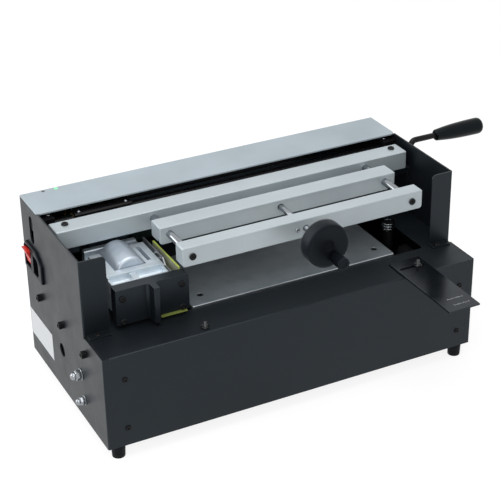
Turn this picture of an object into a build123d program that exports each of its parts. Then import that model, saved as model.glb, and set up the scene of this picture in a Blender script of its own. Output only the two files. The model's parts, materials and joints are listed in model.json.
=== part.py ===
from build123d import *
import os
from math import cos, radians, sin

# A tabletop perfect binding machine. A book block is clamped in the jaws with its spine down, a
# heated glue carriage slides along under the spine, and the lever then lifts the nipping table,
# which presses the cover onto the glued spine.
#
# Every size is in millimetres and is drawn from three faces of the housing: X runs right from the
# left wall, Y runs back from the front panel, and Z runs up from the underside of the base.
# drawn_to_part() moves each piece to the part's own frame, whose origin is the middle of the
# whole machine's footprint, at the soles of its feet.

# Housing
WIDTH = 540.0
DEPTH = 275.0
SHEET = 2.0
SEAM = 0.2
DECK_TOP = 132.0
WALL_TOP = 237.4
WALL_FRONT = 61.4
LID_FRONT = 208.0
LID_CORNER = 6.0
LID_SKIRT = 32.0
FRONT_FLANGE = 9.5
LEFT_FLANGE = 35.5
RIGHT_FLANGE = 32.0
FOLD_RADIUS = 1.8
FOOT_HEIGHT = 19.0
FOOT_RADIUS = 9.5
FEET_X = (17.0, 523.0)
FEET_Y = (11.0, 258.0)
LAMP_X = (31.0, 49.0)
LAMP_Y = 269.5
WELL_X = (108.0, 497.0)
WELL_Y = (60.0, 206.0)

# Mains inlet and its switch, in the left wall
INLET_Y = (200.0, 266.0)
INLET_Z = (138.0, 178.0)
SOCKET_Y = (210.0, 230.0)
SOCKET_Z = (142.0, 169.0)
ROCKER_Y = (240.0, 261.0)
ROCKER_AXIS = (3.0, 158.0)

# Clamp: a fixed rear bar, a sliding jaw and a front bar that carries the screw
CLAMP_X = 302.4
ROD_X = (142.3, 462.6)
ROD_Z = 219.3
ROD_RADIUS = 5.0
RUNNING = 0.06
REAR_BAR_X = (8.4, 530.2)
REAR_BAR_Y = (160.5, 190.0)
REAR_BAR_Z = (203.5, 230.0)
JAW_X = (128.5, 479.0)
JAW_Y = (109.4, 137.0)
JAW_Z = (206.0, 230.0)
FRONT_BAR_X = (128.5, 478.5)
FRONT_BAR_Y = (40.6, 61.0)
FRONT_BAR_Z = (206.0, 233.0)
SCREW_RADIUS = 4.0
COLLAR_RADIUS = 6.1
WHEEL_RADIUS = 30.0
WHEEL_Y = (-18.0, 3.0)
WHEEL_FLUTES = 44
CRANK_AT = (310.8, 203.5)
CRANK_RADIUS = 8.4
CRANK_END = -42.5

# Lift: cross shaft, two arms with rollers, two guide posts, the table on its brackets
SHAFT_Y = 150.0
SHAFT_Z = 65.0
SHAFT_RADIUS = 8.0
ARM_LENGTH = 48.0
ARM_REST = -45.0
ROLLER_RADIUS = 10.0
POST_X = (120.8, 484.0)
POST_Y = 130.0
POST_RADIUS = 7.0
POST_TOP = 144.0
TABLE_X = (149.0, 452.0)
TABLE_Y = (62.0, 200.0)
TABLE_TOP = 134.0
TABLE_THICK = 8.0
BRACKET_X = (167.0, 175.0)
BRACKET_FOOT = 42.8
ROLLER_X = (BRACKET_X[0] + 0.5, BRACKET_X[1] - 0.5)
ARM_X = (BRACKET_X[1] + 0.5, BRACKET_X[1] + 7.0)
PEDESTAL_X = ((4.6, 16.6), (523.4, 535.4))
GUIDE_BLOCK_Y = (116.0, 141.0)
GUIDE_BLOCK_Z = (43.0, 61.0)
LEVER_X = 549.7
LEVER_TOP = (182.0, 233.0)
LEVER_ROD = 4.2
GRIP_X = (591.0, 671.0)

# Glue carriage
BLOCK_X = (44.7, 144.3)
BLOCK_Y = (59.6, 75.0)
BLOCK_Z = (136.0, 186.0)
GLIDE_X = (103.0, 139.5)
POT_X = (46.5, 124.0)
POT_Y = (75.0, 178.0)
POT_Z = (147.0, 190.0)
TROUGHS = ((49.5, 77.5), (85.5, 121.0))
BATH_X = (62.1, 107.2)
BATH_Y = (102.7, 161.0)
SLOT_X = (109.8, 115.0)
SLOT_Y = (109.0, 150.0)
GLUE_ROLLER = (84.5, 180.5)
GLUE_ROLLER_RADIUS = 21.8
GLUE_ROLLER_Y = (103.4, 158.5)
SIDE_PLATE_X = (131.0, 133.0)
INSULATION_X = (136.8, 139.4)
SIDE_PLATE_SCREWS = ((121.5, 180.5), (133.5, 183.5), (162.0, 172.0))
ARM_PLATE_X = (58.0, 112.0)
HOUSING_X = (50.0, 130.0)
HOUSING_Y = (202.0, 260.0)
HOUSING_Z = (196.0, 228.0)
RAIL_BLOCK_Y = (202.0, 262.0)
RAIL_BLOCK_Z = (200.0, 230.0)
RAIL_Y = (214.0, 248.0)
RAIL_Z = 216.0
RAIL_RADIUS = 6.0

# Side gauge and its thumb screws
GAUGE_X = (429.0, 476.0)
GAUGE_Y = (-105.0, 39.0)
THUMB_AT = ((143.0, 12.0), (461.0, 18.0))

# Farthest points of the machine, which set its footprint's middle
NUT_REACH = 15.0
MIDDLE_X = (GRIP_X[1] - NUT_REACH) / 2
MIDDLE_Y = (GAUGE_Y[0] + DEPTH) / 2

TURN = {"X": Rotation(0, 90, 0), "Y": Rotation(-90, 0, 0), "Z": Rotation(0, 0, 0)}


def middle(pair):
    """The value halfway between a low and a high value."""
    return (pair[0] + pair[1]) / 2


def mirrored(x):
    """The place of x on the other side of the clamp's centre line."""
    return 2 * CLAMP_X - x


def span(x, y, z):
    """A square-cornered block between a low and a high value on each axis."""
    sides = [high - low for low, high in (x, y, z)]
    return Pos(middle(x), middle(y), middle(z)) * Box(*sides)


def rod(axis, ends, centre, radius):
    """A round bar along an axis; centre is its place on the two other axes."""
    a, b = centre
    halfway = middle(ends)
    place = {"X": (halfway, a, b), "Y": (a, halfway, b), "Z": (a, b, halfway)}[axis]
    return Pos(*place) * TURN[axis] * Cylinder(radius, abs(ends[1] - ends[0]))


def tube(axis, ends, centre, outer, inner):
    """A round bar with a bore through it."""
    return rod(axis, ends, centre, outer) - rod(axis, ends, centre, inner)


def group(pieces):
    """Several separate solids as one node."""
    return Compound([solid for piece in pieces for solid in piece.solids()])


def along_x(face, x):
    """A face drawn as (Y, Z), stretched along X from the low to the high value."""
    return extrude(Plane.YZ.offset(x[0]) * face, x[1] - x[0])


def along_y(face, y):
    """A face drawn as (X, Z), stretched along Y from the low to the high value."""
    return extrude(Plane.XZ.offset(-y[1]) * face, y[1] - y[0])


def along_z(face, z):
    """A face drawn as (X, Y), stretched along Z from the low to the high value."""
    return extrude(Pos(0, 0, z[0]) * face, z[1] - z[0])


def outline(*points):
    """A flat face with straight sides through the points."""
    return make_face(Polyline(*points, close=True))


def edges_at(shape, axis, *places):
    """The edges along an axis that lie at the given places on the two other axes."""
    others = [i for i, name in enumerate("XYZ") if name != axis]
    found = []
    for edge in shape.edges().filter_by({"X": Axis.X, "Y": Axis.Y, "Z": Axis.Z}[axis]):
        spot = tuple(edge.center())
        if any(all(abs(spot[i] - p[k]) < 0.01 for k, i in enumerate(others)) for p in places):
            found.append(edge)
    return found


def screw(seat, out, head, height, shank, length, socket):
    """A socket-head screw; seat is the middle of its head's underside, out is where it points."""
    body = Pos(0, 0, height / 2) * Cylinder(head, height)
    depth = height * 0.6
    body -= Pos(0, 0, height - depth) * extrude(RegularPolygon(socket, 6), depth)
    body += Pos(0, 0, -length / 2) * Cylinder(shank, length)
    return Plane(origin=seat, z_dir=out).location * body


def bar(x, y, z, top_radius, low_radius, edge):
    """A solid bar along X with its ends rounded off above and below and its long edges broken."""
    block = span(x, y, z)
    block = fillet(edges_at(block, "Y", *[(a, z[0]) for a in x]), low_radius)
    block = fillet(edges_at(block, "Y", *[(a, z[1]) for a in x]), top_radius)
    faces = block.faces().sort_by(Axis.Y)
    return chamfer(faces[0].outer_wire().edges() + faces[-1].outer_wire().edges(), edge)


# Seats shared by pieces and the holes they go in
AXLE_Y = (95.0, POT_Y[1])
POT_HEATERS = ((53.0, 92.0), (117.0, 97.0))
HEATER_Z = 158.0
SIDE_SCREW_SEATS = [(y, 109.0) for y in (59.5, 139.5, 219.5)]
FRONT_SCREW_SEATS = [(x, z) for x in (28.0, 518.0) for z in (25.0, 96.5)]
TAB_SCREW_X = (17.0, 516.0)
TAB_SCREW_Y = 55.5
REAR_BAR_SCREW_X = (26.7, 515.0)
REAR_BAR_SCREW_Y = 178.0
ACORN_SEATS = ((82.0, 66.5, 1.0), (75.5, 31.0, 0.85))
BLOCK_SCREW_SEATS = [(x, z) for x in (53.6, 134.6) for z in (140.5, 173.0)]
NUT_SCREW_OFFSET = 12.5
BOARD_X = (150.0, 260.0)
BOARD_Y = (261.4, 263.0)
BOARD_Z = (136.0, 182.0)
BOARD_POSTS = [(x, z) for x in (156.0, 254.0) for z in (142.0, 176.0)]


def side_wall(flange, tab_screw):
    """The left-hand sheet-metal wall: low over the deck, tall behind, with inward front flanges."""
    seat = WALL_TOP - SHEET
    relief = (WALL_FRONT - 5.0, DECK_TOP - 1.5)
    wall = along_x(
        outline(
            (0, 0),
            (DEPTH, 0),
            (DEPTH, seat),
            (LID_FRONT, seat),
            (LID_FRONT, WALL_TOP),
            (WALL_FRONT, WALL_TOP),
            (WALL_FRONT, relief[1]),
            relief,
            (relief[0], DECK_TOP),
            (0, DECK_TOP),
        ),
        (0, SHEET),
    )
    wall += span((0, FRONT_FLANGE), (0, SHEET), (0, DECK_TOP))
    lip = span((0, flange), (WALL_FRONT, WALL_FRONT + SHEET), (DECK_TOP + SHEET, WALL_TOP))
    lip = fillet(edges_at(lip, "Y", (flange, WALL_TOP)), 6.0)
    tab = span((4, 34), (50, WALL_FRONT + SHEET), (DECK_TOP, DECK_TOP + SHEET))
    tab = fillet(edges_at(tab, "Z", (4, 50), (34, 50)), 3.0)
    tab -= rod("Z", (DECK_TOP, DECK_TOP + SHEET), (tab_screw, TAB_SCREW_Y), 2.0)
    wall += lip + tab
    wall = fillet(edges_at(wall, "Z", (0, 0), (0, WALL_FRONT)), FOLD_RADIUS)
    for y, z in SIDE_SCREW_SEATS:
        wall -= rod("X", (0, SHEET), (y, z), 2.5)
    return wall


def left_side_panel():
    """The left wall with its hand slot, the inlet's cut-out and the cross shaft's hole."""
    wall = side_wall(LEFT_FLANGE, TAB_SCREW_X[0])
    slot = Pos(236.0, 202.0) * SlotOverall(40.0, 15.0, rotation=90)
    wall -= along_x(slot, (0, SHEET))
    wall -= span((0, SHEET), (INLET_Y[0] + 4, INLET_Y[1] - 4), (INLET_Z[0] + 3, INLET_Z[1] - 3))
    wall -= rod("X", (0, SHEET), (SHAFT_Y, SHAFT_Z), 9.5)
    for y, z, size in ACORN_SEATS:
        wall -= rod("X", (0, SHEET), (y, z), 4.0 * size)
    return wall


def right_side_panel():
    """The right wall, a mirror of the left, with the hole that the lever's shaft comes out of."""
    shape = side_wall(RIGHT_FLANGE, WIDTH - TAB_SCREW_X[1])
    wall = Pos(WIDTH, 0, 0) * mirror(shape, about=Plane.YZ)
    return wall - rod("X", (WIDTH - SHEET, WIDTH), (SHAFT_Y, SHAFT_Z), 9.5)


def deck_plate():
    """The top of the base, with down-turned sides and the well that the table rises through."""
    low, high = SHEET + SEAM, WIDTH - SHEET - SEAM
    deck = span((low, high), (0, DEPTH - SHEET - SEAM), (DECK_TOP - SHEET, DECK_TOP))
    deck = fillet(edges_at(deck, "X", (0, DECK_TOP)), FOLD_RADIUS)
    for x in ((low, low + SHEET), (high - SHEET, high)):
        deck += span(x, (20, 250), (100, DECK_TOP - SHEET))
    for x in ((0, FRONT_FLANGE + SEAM), (WIDTH - FRONT_FLANGE - SEAM, WIDTH)):
        deck -= span(x, (0, SHEET + SEAM), (0, DECK_TOP))
    well = RectangleRounded(WELL_X[1] - WELL_X[0], WELL_Y[1] - WELL_Y[0], 5.0)
    deck -= Pos(middle(WELL_X), middle(WELL_Y), DECK_TOP - SHEET) * extrude(well, SHEET)
    for place in THUMB_AT:
        deck -= rod("Z", (DECK_TOP - SHEET, DECK_TOP), place, 2.5 + RUNNING)
    for x in TAB_SCREW_X:
        deck -= rod("Z", (DECK_TOP - SHEET, DECK_TOP), (x, TAB_SCREW_Y), 2.0)
    for y, z in SIDE_SCREW_SEATS:
        deck -= rod("X", (0, WIDTH), (y, z), 2.5)
    return deck


def front_panel():
    """The base's front, folded in along its top and both ends."""
    x = (FRONT_FLANGE + SEAM, WIDTH - FRONT_FLANGE - SEAM)
    top = DECK_TOP - SHEET - SEAM
    panel = span(x, (0, SHEET), (0, top))
    panel += span(x, (0, 8), (top - SHEET, top))
    for end in ((x[0], x[0] + SHEET), (x[1] - SHEET, x[1])):
        panel += span(end, (0, 16), (SHEET + SEAM, top))
    for x, z in FRONT_SCREW_SEATS:
        panel -= rod("Y", (0, SHEET), (x, z), 2.0)
    return panel


def bottom_plate():
    """The floor of the base, with two angles welded on that the front panel is screwed to."""
    side = SHEET + SEAM
    plate = span((side, WIDTH - side), (side, DEPTH - side), (0, SHEET))
    for x in FEET_X:
        for y in FEET_Y:
            plate -= rod("Z", (0, SHEET), (x, y), 2.5)
    top = DECK_TOP - 2 * SHEET - 2 * SEAM
    for x, inward in ((20.0, 1), (528.0, -1)):
        plate += span(sorted((x, x + inward * 18.0)), (SHEET, 2 * SHEET), (SHEET, top))
        plate += span(sorted((x, x + inward * SHEET)), (SHEET, 36), (SHEET, top))
    for seat in FRONT_SCREW_SEATS:
        plate -= rod("Y", (SHEET, 2 * SHEET), seat, 2.0)
    return plate


def rear_panel():
    """The back of the machine, with two sets of louvre slots and studs for the control board."""
    side = SHEET + SEAM
    back = DEPTH - SHEET
    panel = span((side, WIDTH - side), (back, DEPTH), (0, WALL_TOP - LID_SKIRT - 2 * SEAM))
    for x in (90.0, 370.0):
        for row in range(6):
            slot = Pos(x + 40, 150.0 + 7.0 * row) * SlotOverall(80.0, 3.0)
            panel -= along_y(slot, (back, DEPTH))
    for x, z in BOARD_POSTS:
        panel += rod("Y", (BOARD_Y[1], back), (x, z), 3.0)
        panel += rod("Y", (BOARD_Y[0] - 1, BOARD_Y[1]), (x, z), 1.5)
    return panel


def top_lid():
    """The pale lid across both walls, with a rear skirt and the holes for two lamps."""
    lid = span((0, WIDTH), (LID_FRONT, DEPTH), (WALL_TOP - SHEET, WALL_TOP))
    lid = fillet(edges_at(lid, "Z", (0, LID_FRONT), (WIDTH, LID_FRONT)), LID_CORNER)
    lid += span((0, WIDTH), (DEPTH - SHEET, DEPTH), (WALL_TOP - LID_SKIRT, WALL_TOP))
    lid -= span((-1, SHEET + SEAM), (DEPTH - SHEET, DEPTH), (0, WALL_TOP - SHEET))
    lid -= span((WIDTH - SHEET - SEAM, WIDTH + 1), (DEPTH - SHEET, DEPTH), (0, WALL_TOP - SHEET))
    lid = fillet(edges_at(lid, "X", (DEPTH, WALL_TOP)), FOLD_RADIUS)
    for x in LAMP_X:
        lid -= rod("Z", (WALL_TOP - SHEET, WALL_TOP), (x, LAMP_Y), 2.6)
    return lid


def indicator_lamps():
    """Two small lamps in the lid: one for the supply and one for the glue's heat."""
    lamps = []
    for x in LAMP_X:
        lamp = rod("Z", (WALL_TOP - 6, WALL_TOP + 0.2), (x, LAMP_Y), 2.6)
        lamp += rod("Z", (WALL_TOP - 6, WALL_TOP - SHEET), (x, LAMP_Y), 3.4)
        lamps.append(fillet(lamp.edges().sort_by(Axis.Z)[-1], 1.2))
    return group(lamps)


def feet():
    """Four rubber feet, a little narrower at the sole."""
    stubs = []
    for x in FEET_X:
        for y in FEET_Y:
            cone = Pos(x, y, -FOOT_HEIGHT / 2) * Cone(FOOT_RADIUS - 1, FOOT_RADIUS, FOOT_HEIGHT)
            stubs.append(cone + rod("Z", (0, SHEET + 2), (x, y), 2.5))
    return group(stubs)


def rear_jaw_bar():
    """The fixed jaw: a long bar across the machine that the book's back leaf rests against."""
    piece = bar(REAR_BAR_X, REAR_BAR_Y, REAR_BAR_Z, 1.6, 3.0, 1.2)
    for x in ROD_X:
        piece -= rod("Y", (REAR_BAR_Y[0], REAR_BAR_Y[0] + 12), (x, ROD_Z), ROD_RADIUS)
    for x in REAR_BAR_SCREW_X:
        piece -= rod("Z", REAR_BAR_Z, (x, REAR_BAR_SCREW_Y), 2.5)
    return piece


def rear_bar_brackets():
    """Two angles welded to the walls, which the fixed jaw is bolted down on."""
    y = (162.0, 187.0)
    top = REAR_BAR_Z[0]
    pair = []
    for wall, side in ((SHEET, 1), (WIDTH - SHEET, -1)):
        shelf = span(sorted((wall, wall + side * 36)), y, (top - 8, top))
        shelf += span(sorted((wall, wall + side * 4)), y, (top - 36, top))
        for x in REAR_BAR_SCREW_X:
            shelf -= rod("Z", (top - 8, top), (x, REAR_BAR_SCREW_Y), 2.5)
        pair.append(shelf)
    return group(pair)


def rear_bar_screws():
    """Two black screws down through the fixed jaw."""
    seats = [(x, REAR_BAR_SCREW_Y, REAR_BAR_Z[1]) for x in REAR_BAR_SCREW_X]
    return group([screw(seat, (0, 0, 1), 4.6, 2.6, 2.5, 32.0, 2.2) for seat in seats])


def jaw_guide_rods():
    """Two ground rods from the fixed jaw to the front bar, tapped for a screw in front."""
    pair = []
    for x in ROD_X:
        whole = rod("Y", (47, REAR_BAR_Y[0] + 12), (x, ROD_Z), ROD_RADIUS)
        pair.append(whole - rod("Y", (47, 60), (x, ROD_Z), 2.5))
    return group(pair)


def front_bar():
    """The bar in front of the jaw, which holds the rods' ends and the screw's nut."""
    piece = bar(FRONT_BAR_X, FRONT_BAR_Y, FRONT_BAR_Z, 2.6, 4.0, 1.0)
    for x in ROD_X:
        piece -= rod("Y", (47, FRONT_BAR_Y[1]), (x, ROD_Z), ROD_RADIUS)
        piece -= rod("Y", (FRONT_BAR_Y[0], 47), (x, ROD_Z), 2.5)
    seat = FRONT_BAR_Y[0] + 6
    piece -= rod("Y", (FRONT_BAR_Y[0], seat), (CLAMP_X, ROD_Z), SCREW_RADIUS + 0.5)
    piece -= rod("Y", (seat, FRONT_BAR_Y[1]), (CLAMP_X, ROD_Z), 8.0)
    for side in (-1, 1):
        piece -= rod("Y", FRONT_BAR_Y, (CLAMP_X + side * NUT_SCREW_OFFSET, ROD_Z), 1.6)
    return piece


def front_bar_screws():
    """The two black screws that hold the front bar on the rods."""
    seats = [(x, FRONT_BAR_Y[0], ROD_Z) for x in ROD_X]
    return group([screw(seat, (0, -1, 0), 4.6, 2.4, 2.5, 18.0, 2.2) for seat in seats])


def clamp_nut():
    """The screw's flanged brass nut, let into the front bar from behind."""
    flange = Pos(CLAMP_X, ROD_Z) * SlotOverall(38.0, 20.0)
    nut = along_y(flange, (FRONT_BAR_Y[1], FRONT_BAR_Y[1] + 4))
    nut += rod("Y", (FRONT_BAR_Y[0] + 6, FRONT_BAR_Y[1]), (CLAMP_X, ROD_Z), 8.0)
    nut -= rod("Y", (FRONT_BAR_Y[0], FRONT_BAR_Y[1] + 4), (CLAMP_X, ROD_Z), SCREW_RADIUS + RUNNING)
    for side in (-1, 1):
        at = (CLAMP_X + side * NUT_SCREW_OFFSET, ROD_Z)
        nut -= rod("Y", (FRONT_BAR_Y[1], FRONT_BAR_Y[1] + 4), at, 1.6)
    return nut


def nut_screws():
    """The two bright pan-head screws that hold the nut."""
    seats = [(CLAMP_X + side * NUT_SCREW_OFFSET, FRONT_BAR_Y[0], ROD_Z) for side in (-1, 1)]
    return group([screw(seat, (0, -1, 0), 3.2, 2.0, 1.6, 24.0, 1.3) for seat in seats])


def moving_jaw():
    """The sliding jaw: a drawn bar with a groove along its underside, bored for the rods."""
    lip, groove_top = (JAW_Y[0] + 3.6, JAW_Y[0] + 12.6), JAW_Z[0] + 6.4
    jaw = bar(JAW_X, JAW_Y, JAW_Z, 1.4, 4.0, 1.0)
    jaw -= span((0, WIDTH), lip, (0, groove_top))
    for x in ROD_X:
        jaw -= rod("Y", JAW_Y, (x, ROD_Z), ROD_RADIUS + RUNNING)
    jaw -= rod("Y", (JAW_Y[0], JAW_Y[0] + 10), (CLAMP_X, ROD_Z), SCREW_RADIUS + RUNNING)
    jaw -= rod("Y", (JAW_Y[0], JAW_Y[0] + 7.4), (CLAMP_X, ROD_Z), COLLAR_RADIUS)
    return jaw


def screw_collar():
    """A ring let into the jaw's front face that traps the screw's shoulder, so that it pulls too."""
    ends = (JAW_Y[0], JAW_Y[0] + 3)
    ring = tube("Y", ends, (CLAMP_X, ROD_Z), COLLAR_RADIUS, SCREW_RADIUS + 0.3)
    return chamfer(ring.edges().filter_by(GeomType.CIRCLE).group_by(Axis.Y)[0], 0.4)


def clamp_screw():
    """The clamp's screw, with a shoulder near its end that the jaw's collar traps."""
    shaft = rod("Y", (WHEEL_Y[0] + 5, JAW_Y[0] + 9.6), (CLAMP_X, ROD_Z), SCREW_RADIUS)
    return shaft + rod("Y", (JAW_Y[0] + 3.3, JAW_Y[0] + 7.1), (CLAMP_X, ROD_Z), COLLAR_RADIUS - 0.7)


def handwheel():
    """The fluted wheel on the clamp's screw, dished in front, with the crank handle's pin."""
    front, back = WHEEL_Y
    profile = [
        (SCREW_RADIUS, front + 5),
        (0, front + 5),
        (0, front + 1.5),
        (13, front + 1.5),
        (14, front + 0.8),
        (25.5, front + 0.8),
        (26.3, front),
        (28, front),
        (WHEEL_RADIUS, front + 2),
        (WHEEL_RADIUS, back - 1),
        (WHEEL_RADIUS - 1, back),
        (25, back),
        (23, back - 8),
        (12, back - 8),
        (11, back + 5),
        (SCREW_RADIUS, back + 5),
    ]
    wheel = revolve(make_face(Polyline(*profile, close=True)), Axis.Y)
    flute = Pos(WHEEL_RADIUS + 0.4, 0) * Rot(0, 0, 45) * Rectangle(2.2, 2.2)
    cut = extrude(Plane.XZ.offset(-back) * flute, back - front - 3.4)
    wheel -= [Rot(0, 360 * i / WHEEL_FLUTES, 0) * cut for i in range(WHEEL_FLUTES)]
    at = (CRANK_AT[0] - CLAMP_X, CRANK_AT[1] - ROD_Z)
    wheel += rod("Y", (front + 2, CRANK_END + 2.5), at, 3.0)
    return Pos(CLAMP_X, 0, ROD_Z) * wheel


def crank_handle():
    """The black handle that spins on its pin as the wheel is cranked round."""
    sleeve = rod("Y", (WHEEL_Y[0] - 0.3, CRANK_END), CRANK_AT, CRANK_RADIUS)
    sleeve = fillet(sleeve.edges().sort_by(Axis.Y)[0], 1.6)
    return sleeve - rod("Y", (WHEEL_Y[0], CRANK_END + 2), CRANK_AT, 3.0 + RUNNING)


def power_inlet():
    """The mains inlet and the switch's frame in one black moulding, its corners cut off."""
    low, high = INLET_Z
    flange = outline(
        (INLET_Y[0], low),
        (INLET_Y[1], low),
        (INLET_Y[1], high - 8),
        (INLET_Y[1] - 8, high),
        (INLET_Y[0] + 20, high),
        (INLET_Y[0], high - 14),
    )
    inlet = along_x(flange, (-4, 0))
    inlet = chamfer(inlet.faces().sort_by(Axis.X)[0].outer_wire().edges(), 1.2)
    body_y = (INLET_Y[0] + 4, INLET_Y[1] - 4)
    inlet += span((0, 24), body_y, (low + 3, high - 3))
    socket = outline(
        (SOCKET_Y[0] + 5, SOCKET_Z[1]),
        (SOCKET_Y[0], SOCKET_Z[1] - 5),
        (SOCKET_Y[0], SOCKET_Z[0] + 5),
        (SOCKET_Y[0] + 5, SOCKET_Z[0]),
        (SOCKET_Y[1], SOCKET_Z[0]),
        (SOCKET_Y[1], SOCKET_Z[1]),
    )
    inlet -= along_x(socket, (-4, 14))
    inlet -= span((-4, 18), ROCKER_Y, (ROCKER_AXIS[1] - 15, ROCKER_AXIS[1] + 15))
    inlet -= inlet_pins()
    return inlet + rod("Y", ROCKER_Y, ROCKER_AXIS, 1.5)


def inlet_pins():
    """The inlet's three flat pins."""
    pins = []
    for y, z in ((225.0, 148.5), (225.0, 162.5), (216.0, 155.5)):
        pins.append(span((2, 20), (y - 2, y + 2), (z - 1, z + 1)))
    return group(pins)


def power_rocker():
    """The red rocker, its upper end standing out."""
    x, z = ROCKER_AXIS
    side = outline(
        (x - 12.0, z + 11.0),
        (x - 7.0, z),
        (x - 5.0, z - 11.0),
        (x + 1, z - 11.4),
        (x + 7, z - 6),
        (x + 7, z + 6),
        (x + 1, z + 11.4),
    )
    rocker = along_y(side, (ROCKER_Y[0] + 0.3, ROCKER_Y[1] - 0.3))
    return rocker - rod("Y", ROCKER_Y, ROCKER_AXIS, 1.5 + RUNNING)


def side_screws():
    """The walls' black screws into the deck's down-turned sides; those beside the lever are low."""
    left = [screw((0, y, z), (-1, 0, 0), 5.0, 7.0, 2.5, 10.0, 2.6) for y, z in SIDE_SCREW_SEATS]
    right = [screw((WIDTH, y, z), (1, 0, 0), 5.0, 4.0, 2.5, 10.0, 2.6) for y, z in SIDE_SCREW_SEATS]
    return group(left + right)


def front_screws():
    """The front panel's four black screws."""
    return group(
        [screw((x, 0, z), (0, -1, 0), 3.8, 2.2, 2.0, 8.0, 1.8) for x, z in FRONT_SCREW_SEATS]
    )


def acorn_nuts():
    """Two bright flanged domed nuts, on studs through the left wall."""
    nuts = []
    for y, z, size in ACORN_SEATS:
        reach, round_radius = NUT_REACH * size, 5.2 * size
        nut = Pos(0, 0, 0.75) * Cylinder(7.8 * size, 1.5)
        nut += Pos(0, 0, 1.5) * extrude(RegularPolygon(7.0 * size, 6), 7.0 * size)
        nut += rod("Z", (1.5, reach - round_radius), (0, 0), round_radius)
        nut += Pos(0, 0, reach - round_radius) * Sphere(round_radius)
        nut += rod("Z", (-8, 0), (0, 0), 4.0 * size)
        nuts.append(Plane(origin=(0, y, z), z_dir=(-1, 0, 0)).location * nut)
    return group(nuts)


def lift_shaft():
    """The cross shaft through the base, which the lever turns."""
    return rod("X", (SHEET + 2.6, LEVER_X + 5), (SHAFT_Y, SHAFT_Z), SHAFT_RADIUS)


def shaft_pedestals():
    """Two cast pedestals on the floor that carry the cross shaft."""
    pair = []
    for x in PEDESTAL_X:
        block = along_x(
            outline(
                (SHAFT_Y - 24, SHEET),
                (SHAFT_Y + 24, SHEET),
                (SHAFT_Y + 17, SHAFT_Z + 5),
                (SHAFT_Y + 9, SHAFT_Z + 17),
                (SHAFT_Y - 9, SHAFT_Z + 17),
                (SHAFT_Y - 17, SHAFT_Z + 5),
            ),
            x,
        )
        pair.append(block - rod("X", x, (SHAFT_Y, SHAFT_Z), SHAFT_RADIUS + RUNNING))
    return group(pair)


def arm_end():
    """Where the lift arms' rollers stand at rest, as (Y, Z)."""
    angle = radians(ARM_REST)
    return SHAFT_Y + ARM_LENGTH * cos(angle), SHAFT_Z + ARM_LENGTH * sin(angle)


def both_sides(x):
    """A span of X and its mirror about the clamp's centre line."""
    return x, (mirrored(x[1]), mirrored(x[0]))


def lift_arms():
    """The two arms keyed to the cross shaft, with headed stubs for the rollers."""
    pair = []
    for x in both_sides(ARM_X):
        web = Pos(ARM_LENGTH / 2, 0) * Rectangle(ARM_LENGTH, 13.0)
        flat = Pos(SHAFT_Y, SHAFT_Z) * Rot(0, 0, ARM_REST) * (web + Circle(14) + end_circle())
        arm = along_x(flat, x)
        hub = (x[0], x[1] + 8) if x == ARM_X else (x[0] - 8, x[1])
        arm += rod("X", hub, (SHAFT_Y, SHAFT_Z), 14.0)
        arm -= rod("X", hub, (SHAFT_Y, SHAFT_Z), SHAFT_RADIUS)
        pair.append(arm)
    for x in both_sides((ROLLER_X[0] - 0.3, ARM_X[0])):
        pair.append(rod("X", x, arm_end(), 4.0))
    for x in both_sides((ROLLER_X[0] - 1.8, ROLLER_X[0] - 0.3)):
        pair.append(rod("X", x, arm_end(), 5.5))
    return group([pair[0] + pair[2] + pair[4], pair[1] + pair[3] + pair[5]])


def end_circle():
    """The rounded tip of a lift arm, in the arm's own plane."""
    return Pos(ARM_LENGTH, 0) * Circle(6.5)


def lift_rollers():
    """The hardened rollers under the table's brackets."""
    return group(
        [tube("X", x, arm_end(), ROLLER_RADIUS, 4.0 + RUNNING) for x in both_sides(ROLLER_X)]
    )


def lever_arm():
    """The lever's bent rod, clamped to the cross shaft outside the right wall."""
    hub = rod("X", (WIDTH + 1.5, LEVER_X + 5), (SHAFT_Y, SHAFT_Z), 14.0)
    hub = chamfer(hub.edges().filter_by(GeomType.CIRCLE), 1.0)
    hub -= rod("X", (WIDTH, LEVER_X + 5), (SHAFT_Y, SHAFT_Z), SHAFT_RADIUS)
    y, z = LEVER_TOP
    reach = ((y - SHAFT_Y) ** 2 + (z - SHAFT_Z) ** 2) ** 0.5
    lean = ((y - SHAFT_Y) / reach, (z - SHAFT_Z) / reach)
    start = (LEVER_X, SHAFT_Y + 10 * lean[0], SHAFT_Z + 10 * lean[1])
    path = FilletPolyline(start, (LEVER_X, y, z), (GRIP_X[0] + 14, y, z), radius=9.0)
    section = Plane(origin=start, z_dir=(0, *lean)) * Circle(LEVER_ROD)
    return hub + sweep(section, path=path)


def lever_grip():
    """The black grip on the lever's end: a small collar, a taper and a domed end."""
    low, high = GRIP_X
    bore, tip = (low + 14, LEVER_ROD), (high, 2.0)
    mouth = [(low, bore[1]), (low, 6.6), (low + 1.4, 8)]
    collar = Polyline(tip, (high, 0), (bore[0], 0), bore, *mouth)
    taper = ThreePointArc(mouth[-1], (low + 27, 10.7), (high - 8, 11.9))
    dome = ThreePointArc((high - 8, 11.9), (high - 2.1, 8.6), tip)
    profile = make_face([*collar.edges(), *taper.edges(), *dome.edges()])
    return Pos(0, *LEVER_TOP) * revolve(profile, Axis.X)


def guide_posts():
    """Two black posts from the floor, on which the table's guide blocks slide."""
    pair = []
    for x in POST_X:
        post = rod("Z", (SHEET, POST_TOP), (x, POST_Y), POST_RADIUS)
        post += rod("Z", (SHEET, SHEET + 6), (x, POST_Y), 13.0)
        pair.append(post)
    return group(pair)


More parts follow.
